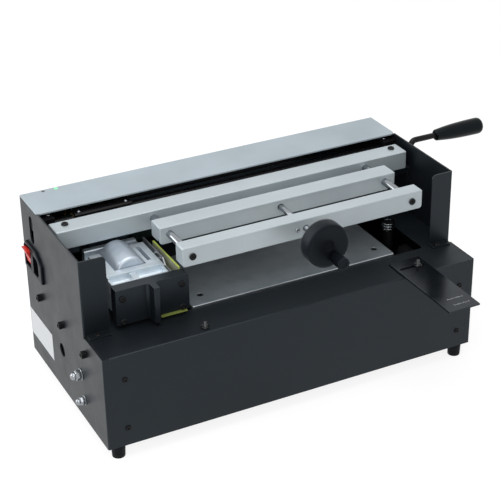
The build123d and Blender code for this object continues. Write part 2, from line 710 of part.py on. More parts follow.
def post_collars():
    """Bright grooved collars at the posts' tops, which stop the guide blocks."""
    pair = []
    for x in POST_X:
        collar = tube("Z", (POST_TOP - 11, POST_TOP), (x, POST_Y), 9.5, POST_RADIUS)
        for z in (POST_TOP - 8, POST_TOP - 4):
            collar -= tube("Z", (z, z + 1.2), (x, POST_Y), 10.5, 8.3)
        pair.append(collar)
    return group(pair)


def nipping_table():
    """The flat table that lifts the cover against the glued spine."""
    table = span(TABLE_X, TABLE_Y, (TABLE_TOP - TABLE_THICK, TABLE_TOP))
    table = fillet(edges_at(table, "Z", *[(x, y) for x in TABLE_X for y in TABLE_Y]), 3.0)
    table = chamfer(table.faces().sort_by(Axis.Z)[-1].outer_wire().edges(), 0.6)
    for x, y in table_screw_places():
        table -= rod("Z", (TABLE_TOP - TABLE_THICK, TABLE_TOP), (x, y), 2.5)
        table -= rod("Z", (TABLE_TOP - 3, TABLE_TOP), (x, y), 4.6)
    return table


def table_screw_places():
    """Over the table's brackets, front and rear."""
    return [(middle(x), y) for x in both_sides(BRACKET_X) for y in (86.0, 182.0)]


def table_screws():
    """Four screws sunk into the table's top, down into its brackets."""
    seats = [(x, y, TABLE_TOP - 3) for x, y in table_screw_places()]
    return group([screw(seat, (0, 0, 1), 4.6, 2.6, 2.5, 16.0, 2.2) for seat in seats])


def table_brackets():
    """Two upright plates under the table, open below where the cross shaft passes."""
    top = TABLE_TOP - TABLE_THICK
    slot = (SHAFT_Y - 11, SHAFT_Y + 11)
    side = outline(
        (72, top),
        (72, top - 12),
        (112, 80),
        (112, 43),
        (slot[0], 43),
        (slot[0], SHAFT_Z + 11),
        (slot[1], SHAFT_Z + 11),
        (slot[1], BRACKET_FOOT),
        (200, BRACKET_FOOT),
        (200, top),
    )
    pair = []
    for x in both_sides(BRACKET_X):
        plate = along_x(side, x)
        for place in table_screw_places():
            plate -= rod("Z", (top - 13, top), place, 2.5)
        pair.append(plate)
    return group(pair)


def guide_blocks():
    """Two bronze blocks on the brackets' front legs, bored to run on the guide posts."""
    pair = []
    for x in both_sides((106.0, BRACKET_X[0])):
        block = span(x, GUIDE_BLOCK_Y, GUIDE_BLOCK_Z)
        for post in POST_X:
            block -= rod("Z", GUIDE_BLOCK_Z, (post, POST_Y), POST_RADIUS + RUNNING)
        pair.append(block)
    return group(pair)


def carriage_front():
    """The carriage's black front block, with a deep fin down its middle to push it along by."""
    block = span(BLOCK_X, BLOCK_Y, BLOCK_Z)
    block = fillet(edges_at(block, "Y", (BLOCK_X[1], BLOCK_Z[1])), 4.0)
    fin_x = (89.8, 98.0)
    block += span(fin_x, (BLOCK_Y[0] - 16, BLOCK_Y[0]), BLOCK_Z)
    block = fillet(edges_at(block, "Z", *[(x, BLOCK_Y[0]) for x in fin_x]), 4.5)
    block = fillet(edges_at(block, "Z", *[(x, BLOCK_Y[0] - 16) for x in fin_x]), 1.2)
    for x, z in BLOCK_SCREW_SEATS:
        block -= rod("Y", BLOCK_Y, (x, z), 2.5)
    return block


def carriage_glide():
    """The glass-fibre strip under the front block, just clear of the deck and the table."""
    return span(GLIDE_X, (BLOCK_Y[0] - 4.6, BLOCK_Y[1]), (TABLE_TOP + 0.5, BLOCK_Z[0]))


def glue_pot():
    """The machined glue tank: two sloping troughs in front, the roller's bath and a rounded back."""
    low, high = POT_Z
    rim = high - 3
    pot = span(POT_X, POT_Y, (low, high))
    trough_back = 92.0
    pot -= span(POT_X, (POT_Y[0], trough_back - 4), (rim, high))
    for x in TROUGHS:
        pot -= along_x(
            outline(
                (POT_Y[0] + 1.5, high),
                (POT_Y[0] + 1.5, rim),
                (trough_back - 6.5, rim - 8),
                (trough_back - 3, rim - 8),
                (trough_back - 0.8, rim - 6),
                (trough_back, rim - 3),
                (trough_back, high),
            ),
            x,
        )
    pot -= span((TROUGHS[0][1], TROUGHS[1][0]), (POT_Y[0], trough_back), (rim, high))
    pot -= span(BATH_X, BATH_Y, (153, high))
    pot -= span((BATH_X[1], POT_X[1]), BATH_Y, (rim, high))
    pot -= span((POT_X[0], BATH_X[0]), (155, BATH_Y[1]), (178, high))
    pot -= span(POT_X, (BATH_Y[1], 168), (178, high))
    pot -= span((119, POT_X[1]), (BATH_Y[1], POT_Y[1]), (182, high))
    pot = fillet(edges_at(pot, "X", (168, high), (POT_Y[1], high)), 2.8)
    pot -= span((SLOT_X[0], SLOT_X[1]), SLOT_Y, (170, high))
    pot -= span((50.5, 56), (140, 147), (174, high))
    pot -= rod("Y", AXLE_Y, GLUE_ROLLER, 5.0)
    for x, y in POT_HEATERS:
        pot -= rod("Y", (y, POT_Y[1]), (x, HEATER_Z), 4.0)
    return pot


def heater_cartridges():
    """Two cartridge heaters in the tank's side walls."""
    return group([rod("Y", (y, POT_Y[1] + 4), (x, HEATER_Z), 4.0) for x, y in POT_HEATERS])


def glue_roller_axle():
    """The fixed axle that the glue roller turns on."""
    return rod("Y", AXLE_Y, GLUE_ROLLER, 5.0)


def glue_roller():
    """The roller that carries hot glue up to the spine, well rounded at its front end."""
    roller = rod("Y", GLUE_ROLLER_Y, GLUE_ROLLER, GLUE_ROLLER_RADIUS)
    ends = roller.edges().filter_by(GeomType.CIRCLE).sort_by(Axis.Y)
    roller = chamfer(ends[-1], 1.0)
    ends = roller.edges().filter_by(GeomType.CIRCLE).sort_by(Axis.Y)
    roller = fillet(ends[0], 4.5)
    return roller - rod("Y", GLUE_ROLLER_Y, GLUE_ROLLER, 5.0 + RUNNING)


def doctor_plate():
    """The slotted plate whose undercut edge sets the thickness of the glue film."""
    low, high = POT_Z[1] - 3, POT_Z[1]
    edge = outline((106.0, low), (POT_X[1], low), (POT_X[1], high), (104.9, high), (104.9, high - 1))
    plate = along_y(edge, (BATH_Y[0], 158.0))
    return plate - span(SLOT_X, SLOT_Y, (low, high))


def pot_side_plate():
    """The steel plate that stands off the tank's right side."""
    side = outline((82, 150), (176, 150), (176, 187), (112, 187), (104, 179), (82, 179))
    plate = along_x(side, SIDE_PLATE_X)
    for at in SIDE_PLATE_SCREWS:
        plate -= rod("X", SIDE_PLATE_X, at, 1.5)
    return plate


def insulation_board():
    """The glass-fibre board that keeps hands and paper off the hot tank."""
    board = span(INSULATION_X, (BLOCK_Y[1], 156), (POT_Z[0] + 3, POT_Z[1] - 1))
    for at in SIDE_PLATE_SCREWS[:2]:
        board -= rod("X", INSULATION_X, at, 1.5)
    return board


def insulation_spacers():
    """Bright spacers that hold the side plate off the tank and the board off the plate."""
    parts = []
    for y, z in SIDE_PLATE_SCREWS:
        inner = rod("X", (POT_X[1], SIDE_PLATE_X[0]), (y, z), 2.6)
        inner += rod("X", SIDE_PLATE_X, (y, z), 1.5)
        parts.append(inner + rod("X", (SIDE_PLATE_X[1], SIDE_PLATE_X[1] + 1.6), (y, z), 2.6))
    for i, (y, z) in enumerate(SIDE_PLATE_SCREWS[:2]):
        parts[i] += rod("X", (SIDE_PLATE_X[1], INSULATION_X[0]), (y, z), 2.6)
        parts[i] += rod("X", INSULATION_X, (y, z), 1.5)
        parts[i] += rod("X", (INSULATION_X[1], INSULATION_X[1] + 1.6), (y, z), 2.8)
    return group(parts)


def carriage_screws():
    """The front block's four black screws."""
    through = BLOCK_Y[1] - BLOCK_Y[0]
    seats = [(x, BLOCK_Y[0], z) for x, z in BLOCK_SCREW_SEATS]
    return group([screw(seat, (0, -1, 0), 4.2, 2.4, 2.5, through, 2.0) for seat in seats])


def carriage_bracket():
    """The bent bracket from the tank's back, under the fixed jaw, to the slide housing."""
    back = span(ARM_PLATE_X, (POT_Y[1], POT_Y[1] + 6), (POT_Z[0] + 3, HOUSING_Z[0]))
    floor = span(ARM_PLATE_X, (POT_Y[1], HOUSING_Y[1]), (HOUSING_Z[0] - 6, HOUSING_Z[0]))
    bracket = back + floor
    return fillet(edges_at(bracket, "X", (POT_Y[1] + 6, HOUSING_Z[0] - 6)), 4.0)


def slide_housing():
    """The block that runs on both rails."""
    housing = span(HOUSING_X, HOUSING_Y, HOUSING_Z)
    housing = chamfer(housing.edges().filter_by(Axis.X).group_by(Axis.Z)[-1], 2.0)
    for y in RAIL_Y:
        housing -= rod("X", HOUSING_X, (y, RAIL_Z), 9.0)
    return housing


def slide_bushes():
    """Bronze bushes in the slide housing, two on each rail."""
    low, high = HOUSING_X
    pairs = [(low, low + 24), (high - 24, high)]
    inner = RAIL_RADIUS + RUNNING
    return group([tube("X", x, (y, RAIL_Z), 9.0, inner) for x in pairs for y in RAIL_Y])


def carriage_rails():
    """Two ground rails under the lid, from wall to wall."""
    return group([rod("X", (4, WIDTH - 4), (y, RAIL_Z), RAIL_RADIUS) for y in RAIL_Y])


def rail_blocks():
    """The end blocks on the walls that hold the rails."""
    pair = []
    for x in ((SHEET, 22.0), (WIDTH - 22.0, WIDTH - SHEET)):
        block = span(x, RAIL_BLOCK_Y, RAIL_BLOCK_Z)
        for y in RAIL_Y:
            block -= rod("X", (4, WIDTH - 4), (y, RAIL_Z), RAIL_RADIUS)
        pair.append(block)
    return group(pair)


def control_board():
    """The heater's control board, inside the back."""
    board = span(BOARD_X, BOARD_Y, BOARD_Z)
    board += span((170, 190), (BOARD_Y[0] - 12, BOARD_Y[0]), (150, 170))
    board += span((205, 240), (BOARD_Y[0] - 8, BOARD_Y[0]), (143, 156))
    for x, z in BOARD_POSTS:
        board -= rod("Y", BOARD_Y, (x, z), 1.5)
    return board


def side_gauge():
    """The smooth black gauge plate on the deck, slotted for its thumb screw."""
    plate = span(GAUGE_X, GAUGE_Y, (DECK_TOP, DECK_TOP + SHEET))
    plate = fillet(edges_at(plate, "Z", *[(x, GAUGE_Y[0]) for x in GAUGE_X]), 1.0)
    x, y = THUMB_AT[1]
    left, right = x - 25.0, x + 8.0
    slot = Pos(middle((left, right)), y) * SlotOverall(right - left + 5.4, 5.4)
    return plate - along_z(slot, (DECK_TOP, DECK_TOP + SHEET))


def thumb_screw(place, seat):
    """A thumb screw: a rimmed black head with a round stub on top, and a shank into the deck."""
    head = rod("Z", (seat, seat + 2.2), place, 5.6)
    head -= rod("Z", (seat + 1.4, seat + 2.2), place, 4.6)
    head += rod("Z", (seat, seat + 9.5), place, 2.4)
    return head + rod("Z", (DECK_TOP - 8, seat), place, 2.5)


NODES = {
    "left_side_panel": left_side_panel,
    "right_side_panel": right_side_panel,
    "deck_plate": deck_plate,
    "front_panel": front_panel,
    "bottom_plate": bottom_plate,
    "rear_panel": rear_panel,
    "top_lid": top_lid,
    "indicator_lamps": indicator_lamps,
    "feet": feet,
    "rear_jaw_bar": rear_jaw_bar,
    "rear_bar_brackets": rear_bar_brackets,
    "rear_bar_screws": rear_bar_screws,
    "jaw_guide_rods": jaw_guide_rods,
    "front_bar": front_bar,
    "front_bar_screws": front_bar_screws,
    "clamp_nut": clamp_nut,
    "nut_screws": nut_screws,
    "moving_jaw": moving_jaw,
    "screw_collar": screw_collar,
    "clamp_screw": clamp_screw,
    "handwheel": handwheel,
    "crank_handle": crank_handle,
    "power_inlet": power_inlet,
    "inlet_pins": inlet_pins,
    "power_rocker": power_rocker,
    "side_screws": side_screws,
    "front_screws": front_screws,
    "acorn_nuts": acorn_nuts,
    "lift_shaft": lift_shaft,
    "shaft_pedestals": shaft_pedestals,
    "lift_arms": lift_arms,
    "lift_rollers": lift_rollers,
    "lever_arm": lever_arm,
    "lever_grip": lever_grip,
    "guide_posts": guide_posts,
    "post_collars": post_collars,
    "nipping_table": nipping_table,
    "table_screws": table_screws,
    "table_brackets": table_brackets,
    "guide_blocks": guide_blocks,
    "carriage_front": carriage_front,
    "carriage_screws": carriage_screws,
    "carriage_glide": carriage_glide,
    "glue_pot": glue_pot,
    "heater_cartridges": heater_cartridges,
    "glue_roller_axle": glue_roller_axle,
    "glue_roller": glue_roller,
    "doctor_plate": doctor_plate,
    "pot_side_plate": pot_side_plate,
    "insulation_board": insulation_board,
    "insulation_spacers": insulation_spacers,
    "carriage_bracket": carriage_bracket,
    "slide_housing": slide_housing,
    "slide_bushes": slide_bushes,
    "carriage_rails": carriage_rails,
    "rail_blocks": rail_blocks,
    "control_board": control_board,
    "side_gauge": side_gauge,
    "thumb_screw_left": lambda: thumb_screw(THUMB_AT[0], DECK_TOP + RUNNING),
    "thumb_screw_right": lambda: thumb_screw(THUMB_AT[1], DECK_TOP + SHEET + RUNNING),
}


def drawn_to_part(piece):
    """A piece moved from the drawing's frame to the part's own."""
    return Pos(-MIDDLE_X, -MIDDLE_Y, FOOT_HEIGHT) * piece


def main():
    """Builds every piece and writes it under its own name."""
    os.makedirs("parts", exist_ok=True)
    for name, make in NODES.items():
        export_step(drawn_to_part(make()), f"parts/{name}.step")


main()
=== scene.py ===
"""Looks of a tabletop perfect binding machine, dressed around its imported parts.

Lengths are metres in the machine's own frame: X to the operator's right, Y to the back, Z up, with the
origin in the middle of its footprint at the soles of its feet.
"""

import json
import math

import bmesh
import bpy
from bpy.props import FloatProperty, FloatVectorProperty, IntProperty, PointerProperty
from mathutils import Matrix, Vector

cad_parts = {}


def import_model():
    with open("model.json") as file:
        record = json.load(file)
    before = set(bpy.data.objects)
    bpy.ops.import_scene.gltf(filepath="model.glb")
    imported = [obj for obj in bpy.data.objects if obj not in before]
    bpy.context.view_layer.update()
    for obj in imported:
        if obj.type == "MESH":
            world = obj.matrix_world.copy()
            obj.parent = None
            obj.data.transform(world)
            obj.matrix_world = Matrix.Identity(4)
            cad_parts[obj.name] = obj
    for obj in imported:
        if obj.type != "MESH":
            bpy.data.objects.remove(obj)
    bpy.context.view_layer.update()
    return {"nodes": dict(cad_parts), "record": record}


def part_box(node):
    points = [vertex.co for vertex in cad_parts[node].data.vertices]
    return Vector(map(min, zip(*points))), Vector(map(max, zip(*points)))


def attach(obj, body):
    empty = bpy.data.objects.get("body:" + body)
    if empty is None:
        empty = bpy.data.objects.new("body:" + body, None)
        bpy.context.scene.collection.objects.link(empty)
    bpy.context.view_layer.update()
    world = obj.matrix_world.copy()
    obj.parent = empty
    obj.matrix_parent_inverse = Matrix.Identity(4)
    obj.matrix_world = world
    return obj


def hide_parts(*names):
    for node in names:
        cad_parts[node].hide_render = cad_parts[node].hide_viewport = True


bl_info = {
    "name": "Perfect Binder Looks",
    "version": (1, 0, 0),
    "blender": (4, 5, 0),
    "location": "View3D > Sidebar > Binder",
    "description": "Finishes, small parts and studio for a tabletop perfect binding machine",
    "category": "Object",
}

MM = 0.001
TAU = 2 * math.pi
LEFT, RIGHT = (-1, 0, 0), (1, 0, 0)
FRONT, BACK = (0, -1, 0), (0, 1, 0)
UP = (0, 0, 1)

# How near points are joined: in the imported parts, and in meshes made here
WELD_PACKED = 1e-6
WELD_MADE = 1e-7

# Angles in degrees between two faces: drawn sharp, joined as one flat face, and broken as an edge
SHARP_ANGLE = 32.0
FLAT_ANGLE = 0.2
BREAK_ANGLE = 40.0

# Screws in millimetres: head radius, head height, socket width, shank radius, shank length
CAP_SCREWS = {
    "side_screws": (5.0, 7.0, 4.6, 2.5, 8),
    "front_bar_screws": (4.6, 2.4, 4.2, 2.5, 16),
    "rear_bar_screws": (4.6, 2.6, 4.2, 2.5, 30),
    "carriage_screws": (4.2, 2.4, 3.8, 2.4, 14),
    "table_screws": (4.5, 2.6, 4.2, 2.4, 14),
}
BUTTON_SCREWS = {
    "front_screws": (3.8, 2.2, 3.0, 2.0, 6),
    "nut_screws": (3.2, 2.0, 2.4, 1.6, 22),
    "rail_block_screws": (2.6, 1.6, 2.0, 1.4, 4),
    "slide_housing_screws": (2.6, 1.6, 2.0, 1.4, 4),
    "tab_screws": (3.6, 2.0, 2.6, 1.9, 4),
}
BRIGHT_SCREWS = ("nut_screws", "rail_block_screws", "slide_housing_screws")

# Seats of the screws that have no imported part
RAIL_BLOCK_SCREWS = ((-0.311, 0.1285, 0.249), (0.197, 0.1285, 0.249))
SLIDE_SCREWS = ((-0.271, 0.123, 0.247), (-0.205, 0.123, 0.247))
TAB_SCREWS = ((-0.311, -0.0295, 0.153), (0.188, -0.0295, 0.153))

# A fastener's scale in width and in height, and the height scale of the low heads beside the lever
FULL_SIZE = (1.0, 1.0)
LOW_HEAD = 4.0 / 7.0

# How far screws sit behind the carriage's foremost edge, and below the table's top
FIN_DEPTH = 16 * MM
TABLE_SINK = 3 * MM

# The handwheel: the Y that its rings are measured from, and its ribs' count and sizes
WHEEL_BACK = -85 * MM
WHEEL_RIBS = 64
RIB_HALF = 0.5 * MM
RIB_ROOT = -0.4 * MM
RIB_ENDS = (-2.2 * MM, 15 * MM)
RIB_BEVEL = 0.3 * MM

# Turned pieces in millimetres
NUT_HEIGHT = 15.0
THUMB_HEIGHT = 9.5
CLAMP_RADIUS = 4.0
CLAMP_PITCH = 2.0
CLAMP_PLAIN_END = 36.0
COLLAR_FROM_END = 6.3
COLLAR_WIDTH = 3.8
COLLAR_RADIUS = 5.4
LENS_RINGS = ((-6, 3.3), (-2.0, 3.3), (-2.0, 2.55), (-0.3, 2.55), (0.05, 2.3), (0.18, 1.6), (0.2, 0.2))
GRIP_RINGS = (
    (0, 4.3), (0, 6.3), (0.5, 7.1), (1.4, 8.0), (4, 8.35), (8, 8.85), (14, 9.55), (20, 10.15), (27, 10.7),
    (36, 11.2), (45, 11.55), (54, 11.78), (63, 11.9), (69, 11.93), (72, 11.9), (73.6, 11.66), (75, 11.2),
    (76.3, 10.4), (77.4, 9.2), (78.3, 7.8), (79.1, 5.9), (79.7, 3.8), (80, 2.0), (80, 0.2),
)

# The left wall's label: its centre in Y and Z, and how far its back and face stand off the wall
LABEL_CENTRE = (0.146, 0.066)
LABEL_BACK = 0.002 * MM
LABEL_FACE = 0.12 * MM
LABEL_BEVEL = 0.04 * MM

# The gauge's ticks: each row's start in X and Y, and how far backs and faces stand off the gauge
TICK_ROWS = ((0.1165, -0.1635), (0.1165, -0.1785))
TICK_COUNT = 16
TICK_PITCH = 1.5 * MM
TICK_WIDTH = 0.35 * MM
TICK_LENGTH = 1.6 * MM
LONG_TICK = 1.6
LONG_TICK_EVERY = 5
TICK_BACK = 0.005 * MM
TICK_FACE = 0.06 * MM

# Looks: the tint of a dark coat's sheen, a coat's paler edge (partly rubbed wear, partly a painted
# highlight), and where the milling arcs are centred
COAT_SHEEN = (0.72, 0.88, 1.0)
RUBBED_AND_LIT_COAT_EDGE = (0.05, 0.053, 0.056)
CUTTER_CENTRE = (0.45, 0.8, 0.0)

# Lamps: place, the point that each is aimed at, its side and the setting that holds its power
LAMPS = {
    "overhead_lamp": ((-0.3, -0.2, 2.2), (0, 0.05, 0.1), 2.0, "key_power"),
    "side_lamp": ((-2.0, 1.1, 0.9), (0, 0, 0.1), 1.6, "side_power"),
    "front_lamp": ((-1.5, -1.9, 1.5), (0, 0, 0.1), 1.4, "front_power"),
}

# The floor's half side, its paint for light and for the eye, and its own glow where it is seen
FLOOR_HALF = 30.0
FLOOR_LIT = 0.75
FLOOR_SEEN = 0.22
FLOOR_GLOW = 0.86

# The camera: place; azimuth, elevation and roll in degrees; shift in picture widths; sensor in millimetres
CAMERA_PLACE = Vector((-0.82382, -1.47696, 1.08672))
CAMERA_ANGLES = (-26.516, 28.056, -0.960)
CAMERA_SHIFT = (0.00405, -0.008)
SENSOR_WIDTH = 36.0

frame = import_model()
SLOT_OF = {part["node"]: part["material_slot"] for part in frame["record"]["subparts"]}


# Where things are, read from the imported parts


def middle(box):
    """The centre of a box given as its two corners."""
    return (box[0] + box[1]) / 2


def solids_of(node):
    """The boxes of a node's separate solids, left to right."""
    bm = bmesh.new()
    bm.from_mesh(frame["nodes"][node].data)
    bmesh.ops.remove_doubles(bm, verts=bm.verts, dist=WELD_PACKED)
    left, boxes = set(bm.verts), []
    while left:
        reach = [left.pop()]
        low, high = reach[0].co.copy(), reach[0].co.copy()
        while reach:
            vert = reach.pop()
            low = Vector(map(min, low, vert.co))
            high = Vector(map(max, high, vert.co))
            for edge in vert.link_edges:
                other = edge.other_vert(vert)
                if other in left:
                    left.remove(other)
                    reach.append(other)
        boxes.append((low, high))
    bm.free()
    return sorted(boxes, key=lambda box: tuple(round(c, 4) for c in box[0]))


def seats(node, axis, level, out):
    """Where a node's fasteners stand: the middle of each solid, on a plane across an axis."""
    found = []
    for box in solids_of(node):
        place = middle(box)
        place[axis] = level
        found.append((place, out, FULL_SIZE))
    return found


def upright_seats(places):
    """Seats of screws that stand upright at stated places."""
    return [(Vector(place), UP, FULL_SIZE) for place in places]


def face(node, axis, end):
    """How far a node reaches along an axis, at its low (0) or high (1) end."""
    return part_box(node)[end][axis]


# Meshes


def linked(name, data):
    """A new object in the scene."""
    obj = bpy.data.objects.new(name, data)
    bpy.context.scene.collection.objects.link(obj)
    return obj


def to_object(bm, name, sharp=SHARP_ANGLE):
    """A new object from mesh code: outward faces, smooth but for edges sharper than the angle in degrees."""
    bmesh.ops.remove_doubles(bm, verts=bm.verts, dist=WELD_MADE)
    bmesh.ops.recalc_face_normals(bm, faces=bm.faces)
    for facet in bm.faces:
        facet.smooth = True
    for edge in bm.edges:
        edge.smooth = edge.calc_face_angle(math.pi) < math.radians(sharp)
    mesh = bpy.data.meshes.new(name)
    bm.to_mesh(mesh)
    bm.free()
    return linked(name, mesh)


def hexagon(across):
    """A ring's shape: a hexagon, by its size across two flats."""
    return lambda angle: across / 2 / math.cos(angle % (math.pi / 3) - math.pi / 6)


def ribbed(radius, depth, count):
    """A ring's shape: round, with so many narrow grooves cut in."""
    return lambda angle: radius - depth * max(0.0, math.cos(count * angle)) ** 2


def turned(rings, segments=48):
    """A closed body about Z, ring by ring; a ring is its height and its shape or radius."""
    bm = bmesh.new()
    loops = []
    for height, shape in rings:
        loop = []
        for step in range(segments):
            angle = TAU * step / segments
            radius = shape(angle) if callable(shape) else shape
            loop.append(bm.verts.new((radius * math.cos(angle), radius * math.sin(angle), height)))
        loops.append(loop)
    for lower, upper in zip(loops, loops[1:]):
        for i in range(segments):
            j = (i + 1) % segments
            bm.faces.new((lower[i], lower[j], upper[j], upper[i]))
    bm.faces.new(reversed(loops[0]))
    bm.faces.new(loops[-1])
    return bm


def scaled(shape, factor):
    """A ring's shape or radius at another scale."""
    if callable(shape):
        return lambda angle: shape(angle) * factor
    return shape * factor


def body_of(rings, segments=48):
    """A closed body about Z from rings given in millimetres."""
    return turned([(h * MM, scaled(shape, MM)) for h, shape in rings], segments)


def rounded_end(height, radius, drop, steps=4):
    """Rings that round off a body's upper end, from its full radius in to radius less drop."""
    rings = []
    for step in range(steps + 1):
        angle = math.pi / 2 * step / steps
        inset = drop * (1 - math.cos(angle))
        rings.append((height - drop + drop * math.sin(angle), radius - inset))
    return rings


def socket(height, width, depth):
    """Rings that sink a hexagon socket, with its drilled point, into a flat top."""
    return [
        (height, hexagon(width * 1.12)),
        (height - width * 0.06, hexagon(width)),
        (height - depth, hexagon(width)),
        (height - depth - width * 0.04, width * 0.42),
        (height - depth - width * 0.22, width * 0.04),
    ]


def cap_screw(radius, height, width, shank, length, knurls):
    """A socket-head cap screw, knurled round its side."""
    knurl = ribbed(radius, radius * 0.045, knurls)
    edge = radius * 0.1
    rings = [(-length, shank), (0, shank), (0, radius - edge), (edge, radius), (edge * 1.2, knurl)]
    rings += [(height - edge * 1.7, knurl), (height - edge * 1.5, radius)]
    rings += [(height - edge * 0.5, radius - edge), (height, radius - edge * 2.2)]
    return turned(rings + socket(height, width, height * 0.55))


def button_screw(radius, height, width, shank, length):
    """A low socket-head screw with a well rounded edge."""
    rings = [(-length, shank), (0, shank), (0, radius - height * 0.1), (height * 0.12, radius)]
    rings += rounded_end(height, radius, height * 0.8) + socket(height, width, height * 0.6)
    return turned(rings)


def screw(name, knurls):
    """One screw of a group, by the sizes stated for it."""
    if name in CAP_SCREWS:
        return cap_screw(*(size * MM for size in CAP_SCREWS[name]), knurls)
    return button_screw(*(size * MM for size in BUTTON_SCREWS[name]))


def threaded(start, end, radius, pitch, depth, slices=6):
    """Rings of a right-handed screw thread between two heights."""
    count = int((end - start) / pitch * slices)
    heights = [start + i * pitch / slices for i in range(count + 1)]

    def shape(height):
        def at(angle):
            turn = (height / pitch - angle / TAU) % 1.0
            return radius - depth * abs(2 * turn - 1)
        return at

    return [(height, shape(height)) for height in heights]


def aimed(place, out):
    """The matrix that stands a body's Z along a direction, at a place."""
    turn = Vector(UP).rotation_difference(Vector(out)).to_matrix().to_4x4()
    return Matrix.Translation(place) @ turn


def slab(low, high, bevel=0.0, segments=2):
    """A box between two corners, its edges rounded if asked."""
    bm = bmesh.new()
    bmesh.ops.create_cube(bm, size=1.0)
    size = Vector(high) - Vector(low)
    bmesh.ops.scale(bm, vec=size, verts=bm.verts)
    bmesh.ops.translate(bm, vec=(Vector(low) + Vector(high)) / 2, verts=bm.verts)
    if bevel:
        bmesh.ops.bevel(bm, geom=bm.edges[:], offset=bevel, segments=segments, affect="EDGES", profile=0.5)
    return bm


def merged(parts):
    """Several mesh-code bodies as one."""
    whole = bmesh.new()
    for part in parts:
        mesh = bpy.data.meshes.new("part")
        part.to_mesh(mesh)
        part.free()
        whole.from_mesh(mesh)
        bpy.data.meshes.remove(mesh)
    return whole


def moved(bm, matrix):
    """A mesh-code body put in its place."""
    bmesh.ops.transform(bm, matrix=matrix, verts=bm.verts)
    return bm


def placed(bm, name, matrix, sharp=SHARP_ANGLE):
    """A new object whose mesh is put in its place."""
    return to_object(moved(bm, matrix), name, sharp)


def dress(obj, body, slot, material, *nodes):
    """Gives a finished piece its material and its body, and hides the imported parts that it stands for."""
    obj.data.materials.clear()
    obj.data.materials.append(material)
    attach(obj, body)
    if nodes:
        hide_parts(*nodes)


# Geometry Nodes


def put(tree, kind, inputs=None, **settings):
    """Adds a node; an input is a value, or the socket that feeds it."""
    node = tree.nodes.new(kind)
    for key, value in settings.items():
        setattr(node, key, value)
    for key, value in (inputs or {}).items():
        if isinstance(value, bpy.types.NodeSocket):
            tree.links.new(value, node.inputs[key])
        else:
            node.inputs[key].default_value = value
    return node


def new_tree(name, inputs):
    """An empty geometry tree with its named inputs and a finish, as (tree, its input node)."""
    tree = bpy.data.node_groups.new(name, "GeometryNodeTree")
    for label, kind, default in (("Geometry", "Geometry", None), *inputs, ("Finish", "Material", None)):
        entry = tree.interface.new_socket(label, in_out="INPUT", socket_type="NodeSocket" + kind)
        if default is not None:
            entry.default_value = default
    tree.interface.new_socket("Geometry", in_out="OUTPUT", socket_type="NodeSocketGeometry")
    return tree, tree.nodes.new("NodeGroupInput")


def end_tree(tree, geometry, material):
    """The end of every tree: real meshes with a material."""
    solid = put(tree, "GeometryNodeRealizeInstances", {"Geometry": geometry})
    coated = put(tree, "GeometryNodeSetMaterial", {"Geometry": solid.outputs[0], "Material": material})
    put(tree, "NodeGroupOutput", {"Geometry": coated.outputs[0]})


def grown(start, tree, values, name):
    """Runs a geometry tree on an object once and keeps the result as a plain mesh."""
    modifier = start.modifiers.new(tree.name, "NODES")
    modifier.node_group = tree
    for item in tree.interface.items_tree:
        if item.item_type == "SOCKET" and item.in_out == "INPUT" and item.name in values:
            modifier[item.identifier] = values[item.name]
    bpy.context.view_layer.update()
    graph = bpy.context.evaluated_depsgraph_get()
    mesh = bpy.data.meshes.new_from_object(start.evaluated_get(graph))
    mesh.name = name
    start.modifiers.clear()
    bpy.data.objects.remove(start)
    return linked(name, mesh)


def seats_tree():
    """Stands one fastener on every point, along the point's own direction and turned at random."""
    tree, given = new_tree("fasteners_on_seats", (("Fastener", "Object", None), ("Turn Seed", "Int", 3)))
    out = put(tree, "GeometryNodeInputNamedAttribute", {"Name": "out"}, data_type="FLOAT_VECTOR")
    size = put(tree, "GeometryNodeInputNamedAttribute", {"Name": "size"}, data_type="FLOAT_VECTOR")
    upright = put(tree, "FunctionNodeAlignRotationToVector", {"Vector": out.outputs["Attribute"]}, axis="Z")
    # Input 3 is the most that is drawn
    draw = {"Seed": given.outputs["Turn Seed"], 3: TAU}
    angle = put(tree, "FunctionNodeRandomValue", draw, data_type="FLOAT")
    spin = put(tree, "FunctionNodeAxisAngleToRotation", {"Axis": UP, "Angle": angle.outputs[1]})
    turns = {"Rotation": upright.outputs[0], "Rotate By": spin.outputs[0]}
    turn = put(tree, "FunctionNodeRotateRotation", turns, rotation_space="LOCAL")
    source = put(tree, "GeometryNodeObjectInfo", {"Object": given.outputs["Fastener"]})
    inputs = {
        "Points": given.outputs["Geometry"],
        "Instance": source.outputs["Geometry"],
        "Rotation": turn.outputs[0],
        "Scale": size.outputs["Attribute"],
    }
    fitted = put(tree, "GeometryNodeInstanceOnPoints", inputs)
    end_tree(tree, fitted.outputs[0], given.outputs["Finish"])
    return tree


def seat_fasteners(name, spots, fastener, material):
    """One mesh of like fasteners; a seat is (place, direction, (width scale, height scale))."""
    bm = bmesh.new()
    for place, _, _ in spots:
        bm.verts.new(place)
    points = to_object(bm, name + "_seats")
    values = {"out": [out for _, out, _ in spots], "size": [(w, w, h) for _, _, (w, h) in spots]}
    for label, vectors in values.items():
        layer = points.data.attributes.new(label, "FLOAT_VECTOR", "POINT")
        for point, vector in zip(layer.data, vectors):
            point.vector = vector
    tree = bpy.data.node_groups.get("fasteners_on_seats") or seats_tree()
    values = {"Fastener": fastener, "Turn Seed": len(spots), "Finish": material}
    obj = grown(points, tree, values, name)
    bpy.data.objects.remove(fastener)
    return obj


